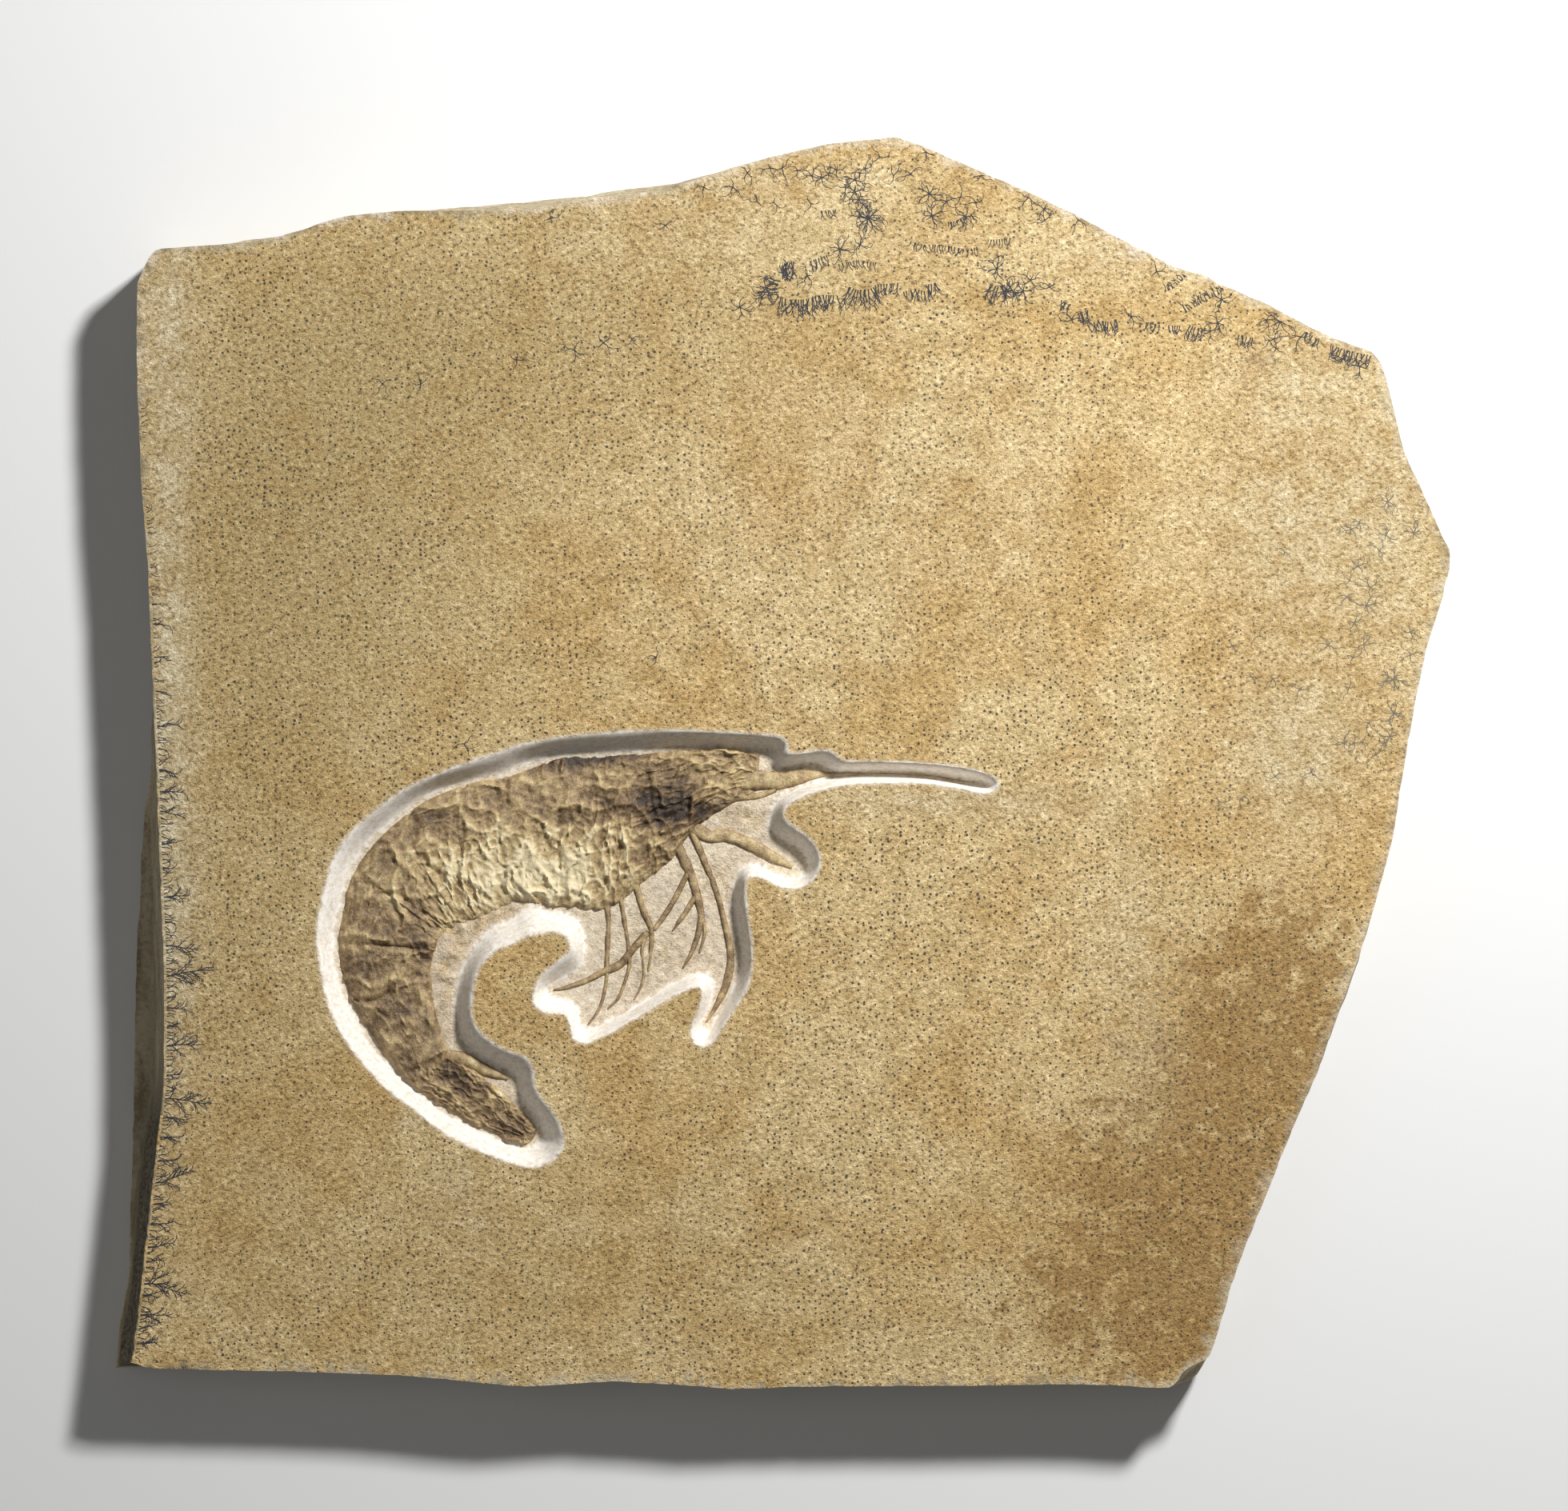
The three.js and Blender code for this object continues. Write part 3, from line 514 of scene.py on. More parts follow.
# Fresh chips along the upper and right edges of the face are pale
edge_gap = distance_to(face_edge, *face_points.T, closed=True)
fresh = (1 - smooth_step(0, 0.8, edge_gap)) * np.clip(0.95 + rough(*face_points.T, 12, 75), 0, 1)
upper = smooth_step(60, 80, face_points[:, 1]) * smooth_step(-138, -130, face_points[:, 0])
dust = np.maximum(dust, 0.5 * fresh * np.maximum(upper, 0.5 * smooth_step(60, 90, face_points[:, 0])))
sheets = [
    # corner points, faces, how much powder-cut stone shows, how much broken side shows
    (side_sheet.reshape(-1, 3), sheet_faces(*side_sheet.shape[:2], True), 0, 1),
    (wall_sheet.reshape(-1, 3), sheet_faces(*wall_sheet.shape[:2], True), 1, 0),
    (np.column_stack([face_points, face_height(*face_points.T)]), face_cells, dust, 0),
    (np.column_stack([floor_points, floor_z]), floor_cells, floor_cut, 0),
    (np.column_stack([back_points, 0 * back_points[:, 0]]), [c[::-1] for c in back_cells], 0, 1),
]


def add_object(name, corners, faces):
    """A new object from corner points in millimetres and faces."""
    mesh = bpy.data.meshes.new(name)
    mesh.from_pydata([tuple(p) for p in corners * MM], [], [tuple(int(k) for k in face) for face in faces])
    made = bpy.data.objects.new(name, mesh)
    bpy.context.collection.objects.link(made)
    return made


def set_field(made, name, values):
    """A value for every corner point, for the finish to read."""
    field = made.data.attributes.new(name, "FLOAT", "POINT")
    field.data.foreach_set("value", np.asarray(values, np.float32))


corners = np.vstack([sheet[0] for sheet in sheets])
faces = []
start = 0
for sheet in sheets:
    faces.extend([k + start for k in face] for face in sheet[1])
    start += len(sheet[0])
slab = add_object("slab", corners, faces)
x, y, z = corners.T
cut = np.concatenate([np.broadcast_to(s[2], len(s[0])) for s in sheets])
side = np.concatenate([np.broadcast_to(s[3], len(s[0])) for s in sheets])

# Iron stain at the lower right and olive weathering at the upper left, with paler washed patches
STAIN = [(106, -66, 24, 44, 1), (75, -80, 26, 50, 0.3), (96, -112, 24, 22, 0.8),
         (100, 84, 5, 2, 0.9), (20, -120, 60, 16, 0.3),
         (-80, -110, 44, 26, 0.35), (-132, 98, 1.6, 2, 1), (-133, 90, 1.6, 2.4, 1),
         (-129, 31, 1.4, 2, 0.9),
         (-127, -2, 1.4, 2, 0.9), (60, -95, 30, 30, 0.3)]
OLIVE = [(-100, 55, 52, 60, 0.9), (-40, 92, 70, 26, 0.6), (-115, -40, 30, 70, 0.5),
         (-40, -105, 70, 26, 0.35),
         (125, 60, 20, 40, 0.3)]
PALE = [(-128, 20, 5, 75, 0.9), (-127, -30, 6, 45, 0.6), (-76, -74, 5, 3, 0.5), (-68, -88, 5, 7, 0.4),
        (-62, -97, 5, 6, 0.35), (-128, 100, 6, 30, 0.6), (106, 48, 16, 24, 0.7),
        (108, 2, 14, 16, 0.75), (74, -45, 8, 26, 0.45),
        (36, -8, 34, 3.4, 0.7), (-50, 122, 90, 3.5, 0.35), (122, -118, 8, 7, 0.8),
        (70, 106, 14, 7, 0.5), (108, 80, 16, 9, 0.55),
        (127, 50, 9, 32, 0.5), (-10, 112, 50, 12, 0.3), (20, 55, 45, 25, 0.2)]
for name, table in (("stain", STAIN), ("olive", OLIVE), ("pale", PALE)):
    set_field(slab, name, np.clip(blobs(x, y, table), 0, 1))
set_field(slab, "cut", cut)
set_field(slab, "side", side)
# Along the top of the left side a dark band: manganese film, made darker towards the bottom as painted
# shade
left_film_and_shade = side * smooth_step(-120, -126, x)
crust = left_film_and_shade * smooth_step(-60, -85, y) + 0.35 * left_film_and_shade
set_field(slab, "crust", np.clip(crust * smooth_step(7, 9, z), 0, 1))
finish = np.zeros(len(faces), int)
first = len(sheets[0][1]) + len(sheets[1][1])
middle = np.array([face_points[list(c)].mean(axis=0) for c in face_cells])
faint = (middle[:, 0] > 90) & (middle[:, 1] < 60)
finish[first:first + len(face_cells)] = np.where(is_film, np.where(faint, 2, 1), 0)
slab.data.polygons.foreach_set("material_index", finish)
bpy.context.view_layer.objects.active = slab
slab.select_set(True)
bpy.ops.object.mode_set(mode="EDIT")
bpy.ops.mesh.select_all(action="SELECT")
bpy.ops.mesh.remove_doubles(threshold=2e-6)
bpy.ops.mesh.normals_make_consistent(inside=False)
bpy.ops.object.mode_set(mode="OBJECT")
bpy.ops.object.shade_smooth_by_angle(angle=math.radians(50))


def put(tree, kind, inputs, **settings):
    """Adds a shader node, sets it, and fills or links its inputs."""
    made = tree.nodes.new("ShaderNode" + kind)
    for key, value in settings.items():
        setattr(made, key, value)
    for key, value in inputs.items():
        if isinstance(value, bpy.types.NodeSocket):
            tree.links.new(value, made.inputs[key])
        else:
            made.inputs[key].default_value = value
    return made


def new_finish(name):
    """An empty finish: its tree, its shader and object coordinates in millimetres."""
    material = bpy.data.materials.new(name)
    material.use_nodes = True
    tree = material.node_tree
    shader = tree.nodes["Principled BSDF"]
    where = put(tree, "TexCoord", {}).outputs["Object"]
    where = put(tree, "VectorMath", {0: where, "Scale": 1000}, operation="SCALE").outputs[0]
    return material, tree, shader, where


def noise(tree, where, scale, detail, roughness=0.55):
    inputs = {"Vector": where, "Scale": scale, "Detail": detail, "Roughness": roughness}
    return put(tree, "TexNoise", inputs).outputs[0]


def spans(tree, value, low, high, to_low=0.0, to_high=1.0):
    """Stretches a value from one range to another, clamped."""
    made = put(tree, "MapRange", {0: value, 1: low, 2: high, 3: to_low, 4: to_high}, clamp=True)
    return made.outputs[0]


def blend(tree, share, one, other, mode="MIX"):
    """Mixes two colours."""
    made = put(tree, "Mix", {0: share, 6: one, 7: other}, data_type="RGBA", blend_type=mode)
    return made.outputs[2]


def times(tree, one, other, operation="MULTIPLY"):
    return put(tree, "Math", {0: one, 1: other}, operation=operation, use_clamp=True).outputs[0]


def field(tree, name):
    return put(tree, "Attribute", {}, attribute_name=name).outputs["Fac"]


def shade_of(red, green, blue):
    """A colour given in screen values, as the shader wants it."""
    return tuple(((c / 255 + 0.055) / 1.055) ** 2.4 for c in (red, green, blue)) + (1,)


stone, tree, shader, where = new_finish("limestone")
broad = noise(tree, where, 0.045, 6, 0.6)
patches = noise(tree, where, 0.2, 6, 0.65)
# The grain is drawn out a little along one diagonal of the face
turned = put(tree, "Mapping", {"Vector": where, "Rotation": (0, 0, -0.6), "Scale": (0.85, 1.1, 1)})
turned = turned.outputs[0]
grain = noise(tree, turned, 1.0, 4, 0.75)
speck = noise(tree, where, 3.4, 2, 0.6)
colour = blend(tree, spans(tree, broad, 0.4, 0.6), shade_of(203, 174, 121), shade_of(218, 196, 150))
colour = blend(tree, times(tree, field(tree, "olive"), spans(tree, patches, 0.3, 0.65, 0.5, 1.0)),
               colour, shade_of(174, 155, 112))
edge_of_stain = times(tree, field(tree, "stain"), spans(tree, patches, 0.38, 0.62, 0.3, 1.0))
edge_of_stain = spans(tree, edge_of_stain, 0.26, 0.44, 0, 0.85)
colour = blend(tree, edge_of_stain, colour, shade_of(158, 128, 80))
colour = blend(tree, times(tree, field(tree, "pale"), spans(tree, patches, 0.35, 0.6, 0.35, 1.0)),
               colour, shade_of(208, 196, 166))
tints = put(tree, "ValToRGB", {0: grain})
ramp = tints.color_ramp
ramp.elements[0].position = 0.36
ramp.elements[0].color = (0.36, 0.31, 0.25, 1)
ramp.elements[1].position = 0.66
ramp.elements[1].color = (1.55, 1.58, 1.66, 1)
ramp.elements.new(0.47).color = (0.92, 0.87, 0.76, 1)
ramp.elements.new(0.56).color = (1.06, 1.05, 1.02, 1)
colour = blend(tree, 0.9, colour, tints.outputs[0], "MULTIPLY")
colour = blend(tree, 0.7, colour, blend(tree, spans(tree, patches, 0.38, 0.6), (0.8, 0.76, 0.68, 1),
                                        (1.12, 1.12, 1.14, 1)), "MULTIPLY")
colour = blend(tree, spans(tree, speck, 0.6, 0.7, 0, 0.55), colour, shade_of(196, 140, 78))
# Round black specks of manganese oxide, one in most cells of an uneven net
cells = put(tree, "TexVoronoi", {"Vector": where, "Scale": 0.8}, voronoi_dimensions="2D")
chance = put(tree, "SeparateColor", {0: cells.outputs["Color"]}).outputs[0]
size = spans(tree, chance, 0.1, 1.0, 0.0, 0.25)
crowd = spans(tree, noise(tree, where, 0.035, 3), 0.36, 0.58, 0.6, 1.0)
size = times(tree, size, crowd)
dots = put(tree, "Math", {0: cells.outputs["Distance"], 1: size}, operation="LESS_THAN").outputs[0]
bare = put(tree, "Math", {0: 1.0, 1: field(tree, "cut")}, operation="SUBTRACT", use_clamp=True).outputs[0]
bare = times(tree, bare, put(tree, "Math", {0: 1.0, 1: times(tree, field(tree, "pale"), 0.9)},
                             operation="SUBTRACT", use_clamp=True).outputs[0])
colour = blend(tree, times(tree, times(tree, dots, 0.9), bare), colour, shade_of(62, 60, 58))
white = blend(tree, spans(tree, grain, 0.38, 0.62), shade_of(236, 227, 213), shade_of(247, 243, 236))
cut_share = times(tree, field(tree, "cut"), spans(tree, grain, 0.3, 0.6, 0.75, 1.0))
colour = blend(tree, cut_share, colour, white)
# Fresh breaks show the bedding as thin paler and darker bands
beds = put(tree, "Mapping", {"Vector": where, "Scale": (0.06, 0.06, 1.1)}).outputs[0]
bands = put(tree, "Math", {0: noise(tree, beds, 1.0, 4, 0.6), 1: spans(tree, grain, 0.3, 0.7, -0.12, 0.12)},
            operation="ADD").outputs[0]
broken = blend(tree, spans(tree, bands, 0.35, 0.65), shade_of(150, 135, 106), shade_of(214, 201, 172))
colour = blend(tree, times(tree, field(tree, "side"), 0.85), colour, broken)
# The dark band on the left side: manganese film and painted shade
colour = blend(tree, times(tree, field(tree, "crust"), spans(tree, grain, 0.35, 0.6, 0.5, 1.0)),
               colour, shade_of(62, 58, 48))
tree.links.new(colour, shader.inputs["Base Color"])
shader.inputs["Roughness"].default_value = 0.85
shader.inputs["Specular IOR Level"].default_value = 0.25
relief = put(tree, "Math", {0: grain, 1: times(tree, speck, 0.3)}, operation="ADD").outputs[0]
bump = put(tree, "Bump", {"Height": relief, "Strength": spans(tree, field(tree, "cut"), 0.4, 1, 0.85, 0.12),
                          "Distance": 0.0006})
tree.links.new(bump.outputs[0], shader.inputs["Normal"])
slab.data.materials.append(stone)
for name, tone in (("dendrite", (44, 45, 50)), ("faint dendrite", (108, 101, 86))):
    film, tree, shader, where = new_finish(name)
    shader.inputs["Base Color"].default_value = shade_of(*tone)
    shader.inputs["Roughness"].default_value = 0.7
    slab.data.materials.append(film)
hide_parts("limestone_plate")
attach(slab, "root")

# The shrimp: the animal's shell, replaced by brown mineral, pressed flat and crumpled on the bedding plane.
# It is one crust bonded to the floor: carapace, seven folded abdomen plates, tail fan, spines and legs.
STATIONS = [
    # back, middle and belly of the body from the head round to the tip of the tail
    [(-4.4, 1.9), (-4.6, -2.5), (-5.6, -7)], [(-10, 2.9), (-11, -3), (-12, -9.5)],
    [(-17, 3.1), (-17.6, -6), (-18.5, -14.5)], [(-24, 2.4), (-24, -9), (-23, -20.5)],
    [(-31, 2), (-30.5, -11), (-29, -25.3)], [(-38, 1.6), (-37.5, -13.5), (-36, -30.5)],
    [(-46, 1.2), (-46, -14.5), (-45.5, -30.2)], [(-56.2, -2.4), (-58.5, -15), (-54.2, -29.2)],
    [(-66, -4.5), (-66.8, -16.5), (-61.5, -31.8)], [(-77.1, -9.8), (-76, -19), (-66.5, -33.8)],
    [(-88.6, -21.7), (-82, -27.5), (-70.5, -35.8)], [(-92.4, -38), (-83, -38), (-72, -39.3)],
    [(-89.2, -51), (-82, -48), (-73, -45)], [(-79.4, -64.9), (-74.2, -62.4), (-69.6, -59.8)],
    [(-73.6, -69.9), (-70.2, -66.2), (-66.2, -62.4)], [(-67.4, -73.9), (-64.8, -70), (-61.6, -66)],
    [(-61, -77.1), (-59.4, -73.8), (-57.2, -69.8)], [(-56, -79.2), (-55, -76.6), (-53.4, -73.4)],
    [(-52.6, -79.5), (-51.6, -78.4), (-50.9, -76.6)],
]
FIRST_JOINT = 6
CRUST_ROOT = 0.4


def through(table, at):
    """Rows on a smooth open curve through a table's rows at fractional positions."""
    table = np.asarray(table, float)
    i = np.clip(np.floor(at).astype(int), 0, len(table) - 2)
    t = (at - i)[:, None]
    p0, p1, p2, p3 = (table[np.clip(i + k, 0, len(table) - 1)] for k in (-1, 0, 1, 2))
    return 0.5 * (2 * p1 + (p2 - p0) * t + (2 * p0 - 5 * p1 + 4 * p2 - p3) * t**2
                  + (3 * p1 - p0 - 3 * p2 + p3) * t**3)


bpy.ops.object.select_all(action="DESELECT")
bpy.ops.mesh.primitive_grid_add(x_subdivisions=520, y_subdivisions=110, size=2)
shrimp = bpy.context.object
shrimp.name = "shrimp"
flat = np.empty(3 * len(shrimp.data.vertices))
shrimp.data.vertices.foreach_get("co", flat)
flat = flat.reshape(-1, 3)
along = (flat[:, 0] + 1) / 2 * (len(STATIONS) - 1)
across = flat[:, 1]
lines = through(np.array(STATIONS).reshape(len(STATIONS), 6), along)
back, middle, belly = lines[:, 0:2], lines[:, 2:4], lines[:, 4:6]
v = across[:, None]
plan = back * (v * (v - 1) / 2) + middle * (1 - v * v) + belly * (v * (v + 1) / 2)
x, y = plan.T
spine = through(np.array([s[1] for s in STATIONS]), np.linspace(0, len(STATIONS) - 1, 800))
run = np.concatenate([[0], np.cumsum(np.hypot(*np.diff(spine, axis=0).T))])
length_at = np.interp(along, np.linspace(0, len(STATIONS) - 1, 800), run)
width_at = 0.5 * np.hypot(*(belly - back).T)
span_at = across * width_at

# Height of the crust: the carapace is low and flat, each abdomen plate climbs to the joint it overlaps
in_body = smooth_step(FIRST_JOINT - 0.6, FIRST_JOINT + 0.2, along) * (1 - smooth_step(13, 13.4, along))
in_tail = smooth_step(12.9, 13.4, along)
climb = along - np.floor(along)
height = 1.0 + 0.5 * smooth_step(0, 4, along) + in_body * (0.35 * climb - 0.1)
height += in_tail * (-0.6 - 0.1 * (along - 13))
dome = np.clip(1 - abs(across) ** 3, 0, 1) ** 0.55
ragged = 0.35 * rough(x, y, 3, 77)
dome *= smooth_step(0, 0.8, along + ragged) * smooth_step(0, 0.5, len(STATIONS) - 1 - along)
worn = np.clip(0.5 + 1.2 * rough(x, y, 2, 79), 0, 1)
height = height * dome - 0.5 * smooth_step(0.86, 1, abs(across)) * worn

# Folds and creases, drawn as lines: how deep each is and how wide
FOLDS = [
    ([(-57.5, -4), (-57, -10), (-61, -16), (-60.3, -22), (-57.5, -27)], 0.45, 0.6),
    ([(-66.3, -5), (-66.5, -10), (-66.5, -16), (-65, -22), (-62, -28)], 0.5, 0.6),
    ([(-77.8, -9.5), (-76, -13), (-77, -17), (-74.5, -20), (-71, -24), (-67.5, -29)], 0.6, 0.7),
    ([(-89.5, -22.5), (-86, -25.5), (-84, -27), (-80, -27.5), (-76, -30), (-73, -32.5),
      (-72, -35)], 0.7, 0.7),
    ([(-93.5, -38), (-88, -37.5), (-82, -38), (-77, -38.5), (-74, -38.5)], 0.5, 0.6),
    ([(-74, -38.5), (-67, -39)], 0.5, 0.6), ([(-74, -38.5), (-69, -35.5)], 0.5, 0.5),
    ([(-74, -38.5), (-69, -42)], 0.5, 0.5),
    ([(-90, -35), (-89.5, -39), (-87.5, -44), (-86, -48)], -0.4, 0.5),
    ([(-90, -50), (-84, -49.5), (-82, -48), (-80, -46), (-76, -44), (-74, -45)], 0.7, 0.6),
    ([(-82, -49), (-79, -52), (-76, -54.5)], -0.45, 0.5),
    ([(-84, -52), (-82, -53.3), (-78.5, -54)], 0.4, 0.4),
    ([(-74, -47), (-72.5, -50), (-71.5, -53), (-70.5, -56), (-70, -59)], 0.9, 0.8),
    ([(-80, -65), (-74, -63.5), (-70, -61)], 0.7, 0.6),
    ([(-72, -69), (-66, -73.5)], 0.35, 0.4), ([(-66, -65.5), (-56, -71.5)], 0.4, 0.45),
    ([(-70, -67), (-60, -74.5), (-55, -77)], -0.35, 0.4),
    ([(-45, 1), (-45.5, -6), (-46.5, -14), (-46, -22), (-45, -29)], 0.45, 0.7),
    ([(-44, -3), (-34, -4.5), (-24, -4), (-14, -1.5)], 0.4, 0.6),
    ([(-36, -14), (-28, -13), (-20, -10), (-12, -6.5)], 0.45, 0.6),
    ([(-43, -17), (-36, -19), (-30, -21)], 0.35, 0.5), ([(-40, -24), (-34, -25), (-30, -23)], 0.35, 0.5),
    ([(-28, -2), (-27, -9), (-25, -16)], 0.35, 0.5), ([(-18, 0), (-19, -6), (-20, -12)], 0.3, 0.5),
]
creased = np.zeros(len(x))
for line, depth, width in FOLDS:
    gap = distance_to(np.array(line), x + 0.5 * rough(x, y, 3, 81), y + 0.5 * rough(x, y, 3, 87))
    broken = np.clip(0.55 + 0.9 * rough(x, y, 5, 83), 0.1, 1)
    creased -= depth * broken * np.exp(-(gap / width) ** 2)
    creased += 0.5 * abs(depth) * broken * np.exp(-((gap - 1.9 * width) / width) ** 2)
# Wrinkles run across the crumpled body, and lengthways on the head and the tail
CRUMPLED = [(-60, -22, 17, 9, 1), (-46, -22, 12, 10, 0.9), (-70, -30, 8, 6, 0.5), (-36, -18, 12, 10, 0.8)]
crinkle = np.clip(blobs(x, y, CRUMPLED), 0, 1)
bent = length_at + 2.4 * rough(x, y, 7, 131)
slid = span_at + 2.4 * rough(x, y, 7, 137)
lengthways = np.clip(in_tail + (1 - smooth_step(3, 6, along)), 0, 1)
wide, high = x + 1.8 * rough(x, y, 5, 143), y + 1.8 * rough(x, y, 5, 149)


def veins(across_it, along_it, size, seed):
    """Thin crests where pressed shell has buckled, with smooth plates between them."""
    return (1 - np.clip(abs(cloud(across_it, along_it, size, seed)), 0, 1)) ** 9


crests = 0.7 * veins(wide, high, 9, 105) + 0.4 * veins(wide, high, 4.6, 107)
crests += crinkle * (0.8 * veins(bent, 0.45 * slid, 4.2, 93) + 0.5 * veins(bent, 0.6 * slid, 2.3, 95))
crests += lengthways * (0.55 * veins(0.35 * bent, slid, 3.6, 99) + 0.35 * veins(0.4 * bent, slid, 1.9, 101))
wrinkles = crests + 0.5 * rough(wide, high, 7, 111) + 0.35 * rough(bent, slid, 2.4, 117)
wrinkles += 0.16 * rough(x, y, 0.9, 113) - 0.25
at_edge = smooth_step(0.0, 0.25, dome)
relief = at_edge * (0.8 * creased + 0.85 * wrinkles)
z = FLOOR_Z + np.clip(height + relief, -CRUST_ROOT, 2.75)
z = np.where(abs(across) > 0.9999, FLOOR_Z - CRUST_ROOT, z)
z = np.where((along < 1e-4) | (along > len(STATIONS) - 1.0001), FLOOR_Z - CRUST_ROOT, z)
shrimp.data.vertices.foreach_set("co", (np.column_stack([x, y, z]) * MM).ravel())
ZONES = [
    # pale crumpled flank, dark head, painted shadow of the upper wall along the back, pale strip behind the
    # belly
    (-60, -24, 13, 6, 0.34), (-48, -24, 10, 6, 0.28), (-38, -20, 9, 7, 0.12), (-69, -46, 2.4, 11, 0.3),
    # the band along the back is a painted shadow cast by the upper wall of the recess
    (-24, -9, 9, 5.5, -0.55), (-42, 1, 15, 2.2, -0.4), (-44, -10, 6, 2.6, -0.2),
    (-34, -8.7, 3.6, 1.8, -0.3),
    (-82, -46, 8, 9, -0.06), (-70, -68, 14, 8, -0.14), (-84, -28, 6, 7, 0.05), (-12, -2, 8, 3, 0.08),
    (-45, -30, 10, 1.4, -0.2), (-74, -39, 2, 2, -0.3),
]
# Tone follows the relief: ridges and crest lines paler as worn shell and as painted highlight, creases
# darker as painted shade
tone = 0.44 + blobs(x, y, ZONES) + 0.2 * relief + 0.34 * rough(wide, high, 8, 141)
tone += (0.1 + 0.22 * crinkle) * crests
set_field(shrimp, "tone", np.clip(tone, 0, 1))
set_field(shrimp, "polish", np.clip(1 - crinkle - lengthways, 0, 1))
shrimp.select_set(True)
bpy.ops.object.mode_set(mode="EDIT")
bpy.ops.mesh.select_mode(type="FACE")
bpy.ops.mesh.select_all(action="SELECT")
bpy.ops.mesh.region_to_loop()
bpy.ops.mesh.edge_face_add()
bpy.ops.mesh.select_all(action="SELECT")
bpy.ops.mesh.normals_make_consistent(inside=False)
bpy.ops.object.mode_set(mode="OBJECT")

LIMBS = [
    # rostrum, spine below it, antennal scale and upper lobe of the tail fan
    [(-12, -4, 4), (-6, -3.6, 4.4), (0, -3.6, 4), (5, -2.6, 3), (10, -2.3, 0.9), (16, -2.2, 0.45),
     (24, -2.2, 0.4),
     (32, -2.75, 0.4), (38, -3.8, 0.3), (40.6, -4.1, 0.2)],
    [(-10, -7, 2), (-5, -6.9, 1.6), (-1, -5.6, 1)],
    [(-19, -13, 3), (-15, -15.3, 3), (-11, -15.2, 2.8), (-6, -17.3, 2.8), (-1, -20, 2.4),
     (2.4, -21.8, 0.8)],
    [(-71, -61, 3), (-66, -62, 3), (-61.5, -64.3, 2.6), (-57, -65.9, 0.8)],
    # walking legs, from the rear of the body to its front
    [(-36.5, -28, 1.6), (-36, -33, 1.3), (-36.2, -38, 1.2), (-36.4, -44, 1)],
    [(-28, -35.5, 1.6), (-31, -39, 1.8), (-33.5, -42, 1.8), (-37, -43.6, 1.7), (-40.5, -45.4, 1.3),
     (-44.5, -46.8, 1), (-47.4, -47.4, 0.5)],
    [(-36.2, -43.5, 1), (-37, -48.5, 0.8), (-38.2, -51.8, 0.7), (-40.2, -54.6, 0.5)],
    [(-33.5, -28, 1.2), (-32.2, -36, 1), (-31.6, -41, 1), (-32.2, -44.5, 0.9), (-33.9, -49, 0.7),
     (-36, -51.2, 0.5)],
    [(-27.8, -35, 1), (-29, -39, 0.9), (-28.7, -45, 0.7), (-30.6, -49.4, 0.5)],
    [(-30.5, -24.5, 1.8), (-29, -30, 1.5), (-27, -35.5, 1.4), (-27.7, -43.5, 0.6)],
    [(-19.2, -22.5, 1.4), (-22.5, -29, 1.4), (-26.4, -34.8, 1.2)],
    [(-17.6, -27.5, 1.4), (-20.3, -31.8, 1.3), (-22.6, -35, 0.6)],
    [(-21.5, -17.5, 2.4), (-19, -23, 2.2), (-17.3, -28.5, 1.9), (-16.7, -33, 1.6), (-18.2, -38.5, 1.2),
     (-20.4, -42.8, 0.5)],
    [(-16.9, -31.5, 1.2), (-15.9, -35, 1), (-16.9, -39.5, 0.5)],
    [(-19.5, -12.5, 1.8), (-16.8, -18.5, 1.6), (-13.6, -26.5, 1.4), (-11.6, -34, 1.4),
     (-10.5, -40.5, 1.8),
     (-11.2, -45.5, 1.9), (-12.8, -49.5, 1.5), (-15.5, -54, 0.5)],
]
LIMB_SIDES = 9
for k, limb in enumerate(LIMBS):
    table = np.array(limb, float)
    reach = np.hypot(*np.diff(table[:, :2], axis=0).T).sum()
    line = through(table, np.linspace(0, len(limb) - 1, max(8, round(reach / 0.35))))
    heading = np.gradient(line[:, :2], axis=0)
    cross = np.stack([-heading[:, 1], heading[:, 0]], axis=1)
    cross /= np.linalg.norm(heading, axis=1, keepdims=True)
    half = 0.5 * line[:, 2] * (1 + 0.16 * rough(*line[:, :2].T, 1.6, 121))
    rings = []
    for angle in np.linspace(0, math.pi, LIMB_SIDES):
        crest = math.sin(angle)
        groove = 0.3 * math.exp(-((angle - math.pi / 2) / 0.3) ** 2)
        rise = (0.35 * half + 0.2) * (1 + 0.6 * rough(*line[:, :2].T, 4, 153))
        level = FLOOR_Z - CRUST_ROOT + (CRUST_ROOT + rise) * crest - groove * 0.4 * half
        plan = line[:, :2] + cross * (half * math.cos(angle))[:, None]
        rings.append(np.column_stack([plan, level + 0.08 * crest * rough(*plan.T, 0.9, 127 + k)]))
    sheet = np.array(rings)
    n = sheet.shape[1]
    faces = [tuple(f) for f in sheet_faces(LIMB_SIDES, n, False)]
    faces.append(tuple(range(n)) + tuple(range(LIMB_SIDES * n - 1, (LIMB_SIDES - 1) * n - 1, -1)))
    faces.append(tuple(r * n for r in range(LIMB_SIDES)))
    faces.append(tuple(r * n + n - 1 for r in reversed(range(LIMB_SIDES))))
    leg = add_object("limb", sheet.reshape(-1, 3), faces)
    # Each leg is painted lighter along its crest and darker down its sides: painted highlight and painted
    # shade
    painted_crest_light = np.repeat(np.sin(np.linspace(0, math.pi, LIMB_SIDES)), n)
    set_field(leg, "tone", np.clip((0.5 if k < 4 else 0.36) + 0.3 * (painted_crest_light - 0.5)
                                 + 0.3 * rough(*sheet.reshape(-1, 3)[:, :2].T, 3, 151), 0, 1))
    set_field(leg, "polish", 0.5 + 0 * painted_crest_light)
    leg.select_set(True)
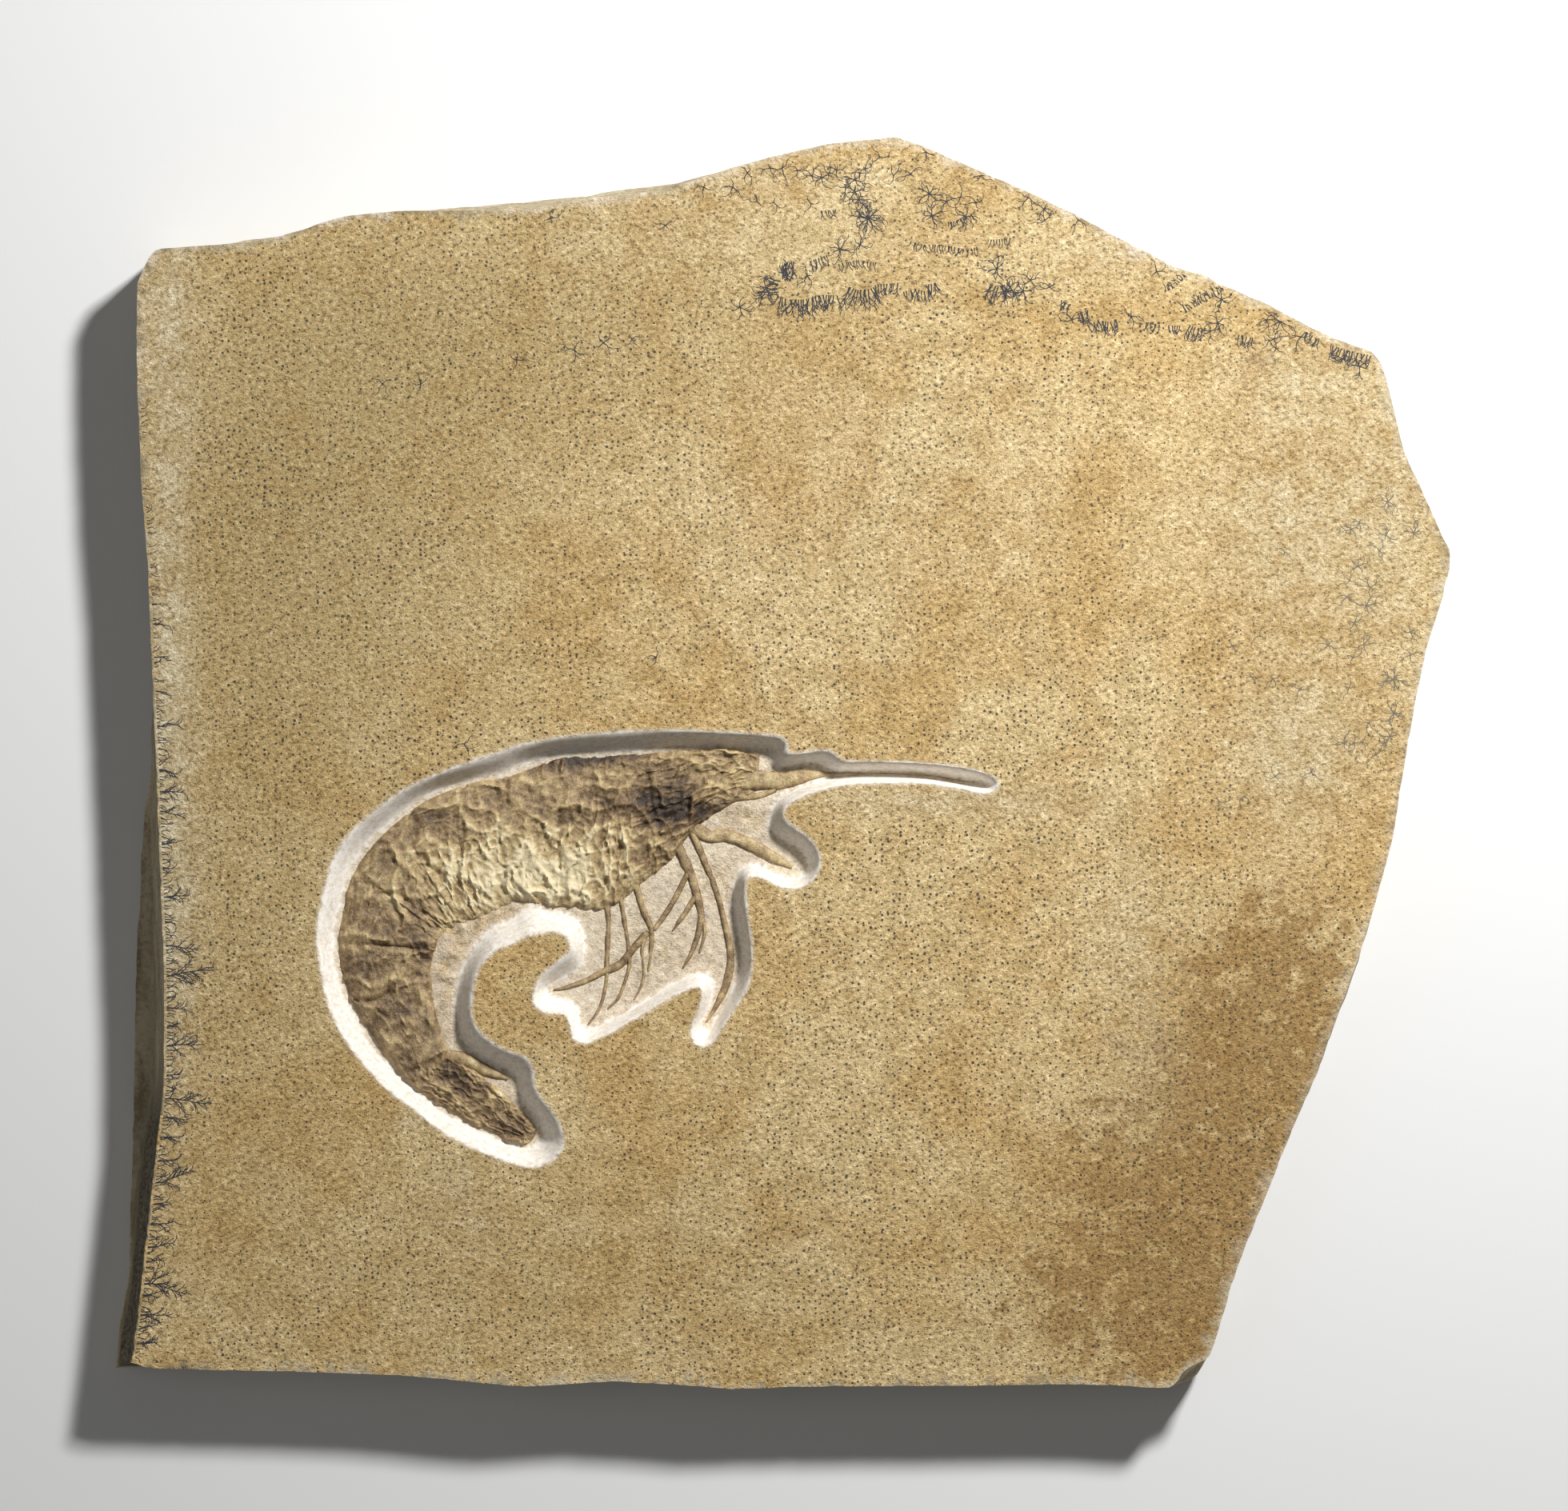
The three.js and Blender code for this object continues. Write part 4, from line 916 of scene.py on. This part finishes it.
bpy.context.view_layer.objects.active = shrimp
bpy.ops.object.join()
bpy.ops.object.mode_set(mode="EDIT")
bpy.ops.mesh.select_all(action="SELECT")
bpy.ops.mesh.normals_make_consistent(inside=False)
bpy.ops.object.mode_set(mode="OBJECT")
bpy.ops.object.shade_smooth_by_angle(angle=math.radians(60))

crust, tree, shader, where = new_finish("fossil crust")
mottle = noise(tree, where, 0.7, 6, 0.7)
fine = noise(tree, where, 3.0, 4, 0.65)
level = put(tree, "Math", {0: field(tree, "tone"), 1: spans(tree, mottle, 0.3, 0.7, -0.22, 0.22)},
            operation="ADD").outputs[0]
level = put(tree, "Math", {0: level, 1: spans(tree, fine, 0.3, 0.7, -0.1, 0.1)}, operation="ADD").outputs[0]
tones = put(tree, "ValToRGB", {0: level})
ramp = tones.color_ramp
ramp.elements[0].position = 0.05
ramp.elements[0].color = shade_of(56, 44, 32)
ramp.elements[1].position = 0.95
ramp.elements[1].color = shade_of(232, 216, 176)
for place, tone in ((0.3, (118, 95, 66)), (0.5, (160, 135, 97)), (0.7, (196, 172, 124))):
    ramp.elements.new(place).color = shade_of(*tone)
tree.links.new(tones.outputs[0], shader.inputs["Base Color"])
tree.links.new(spans(tree, field(tree, "polish"), 0, 1, 0.42, 0.3), shader.inputs["Roughness"])
bump = put(tree, "Bump", {"Height": fine, "Strength": 0.6, "Distance": 0.0004})
tree.links.new(bump.outputs[0], shader.inputs["Normal"])
shrimp.data.materials.append(crust)
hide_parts("fossil_shrimp")
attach(shrimp, "root")

# The studio: a pale floor, one soft lamp from the upper right that rakes the face, and a weak fill
bpy.ops.mesh.primitive_plane_add(size=6, location=(0, 0, 0))
ground = bpy.context.object
ground.name = "floor"
plain, tree, shader, where = new_finish("floor")
shader.inputs["Base Color"].default_value = (0.82, 0.82, 0.81, 1)
shader.inputs["Roughness"].default_value = 0.9
ground.data.materials.append(plain)
scene = bpy.context.scene
scene.view_settings.view_transform = "Standard"
LAMPS = [("key", (0.36, 0.48, 0.54), 0.1, 9.2), ("fill", (-1.0, -0.2, 1.1), 1.2, 1.8)]
for name, place, size, power in LAMPS:
    bpy.ops.object.light_add(type="AREA", location=place)
    lamp = bpy.context.object
    lamp.name = name
    lamp.data.size = size
    lamp.data.energy = power
    lamp.rotation_euler = (-Vector(place)).to_track_quat("-Z", "Y").to_euler()
world = bpy.data.worlds.new("studio")
scene.world = world
world.use_nodes = True
world.node_tree.nodes["Background"].inputs[0].default_value = (1, 1, 1, 1)
world.node_tree.nodes["Background"].inputs[1].default_value = 0.08
LENS_DISTANCE = 1.5
bpy.ops.object.camera_add(location=(0.000667, 0.001583, FACE_Z * MM + LENS_DISTANCE), rotation=(0, 0, 0))
camera = bpy.context.object
camera.data.lens = camera.data.sensor_width * LENS_DISTANCE / 0.32667
scene.camera = camera
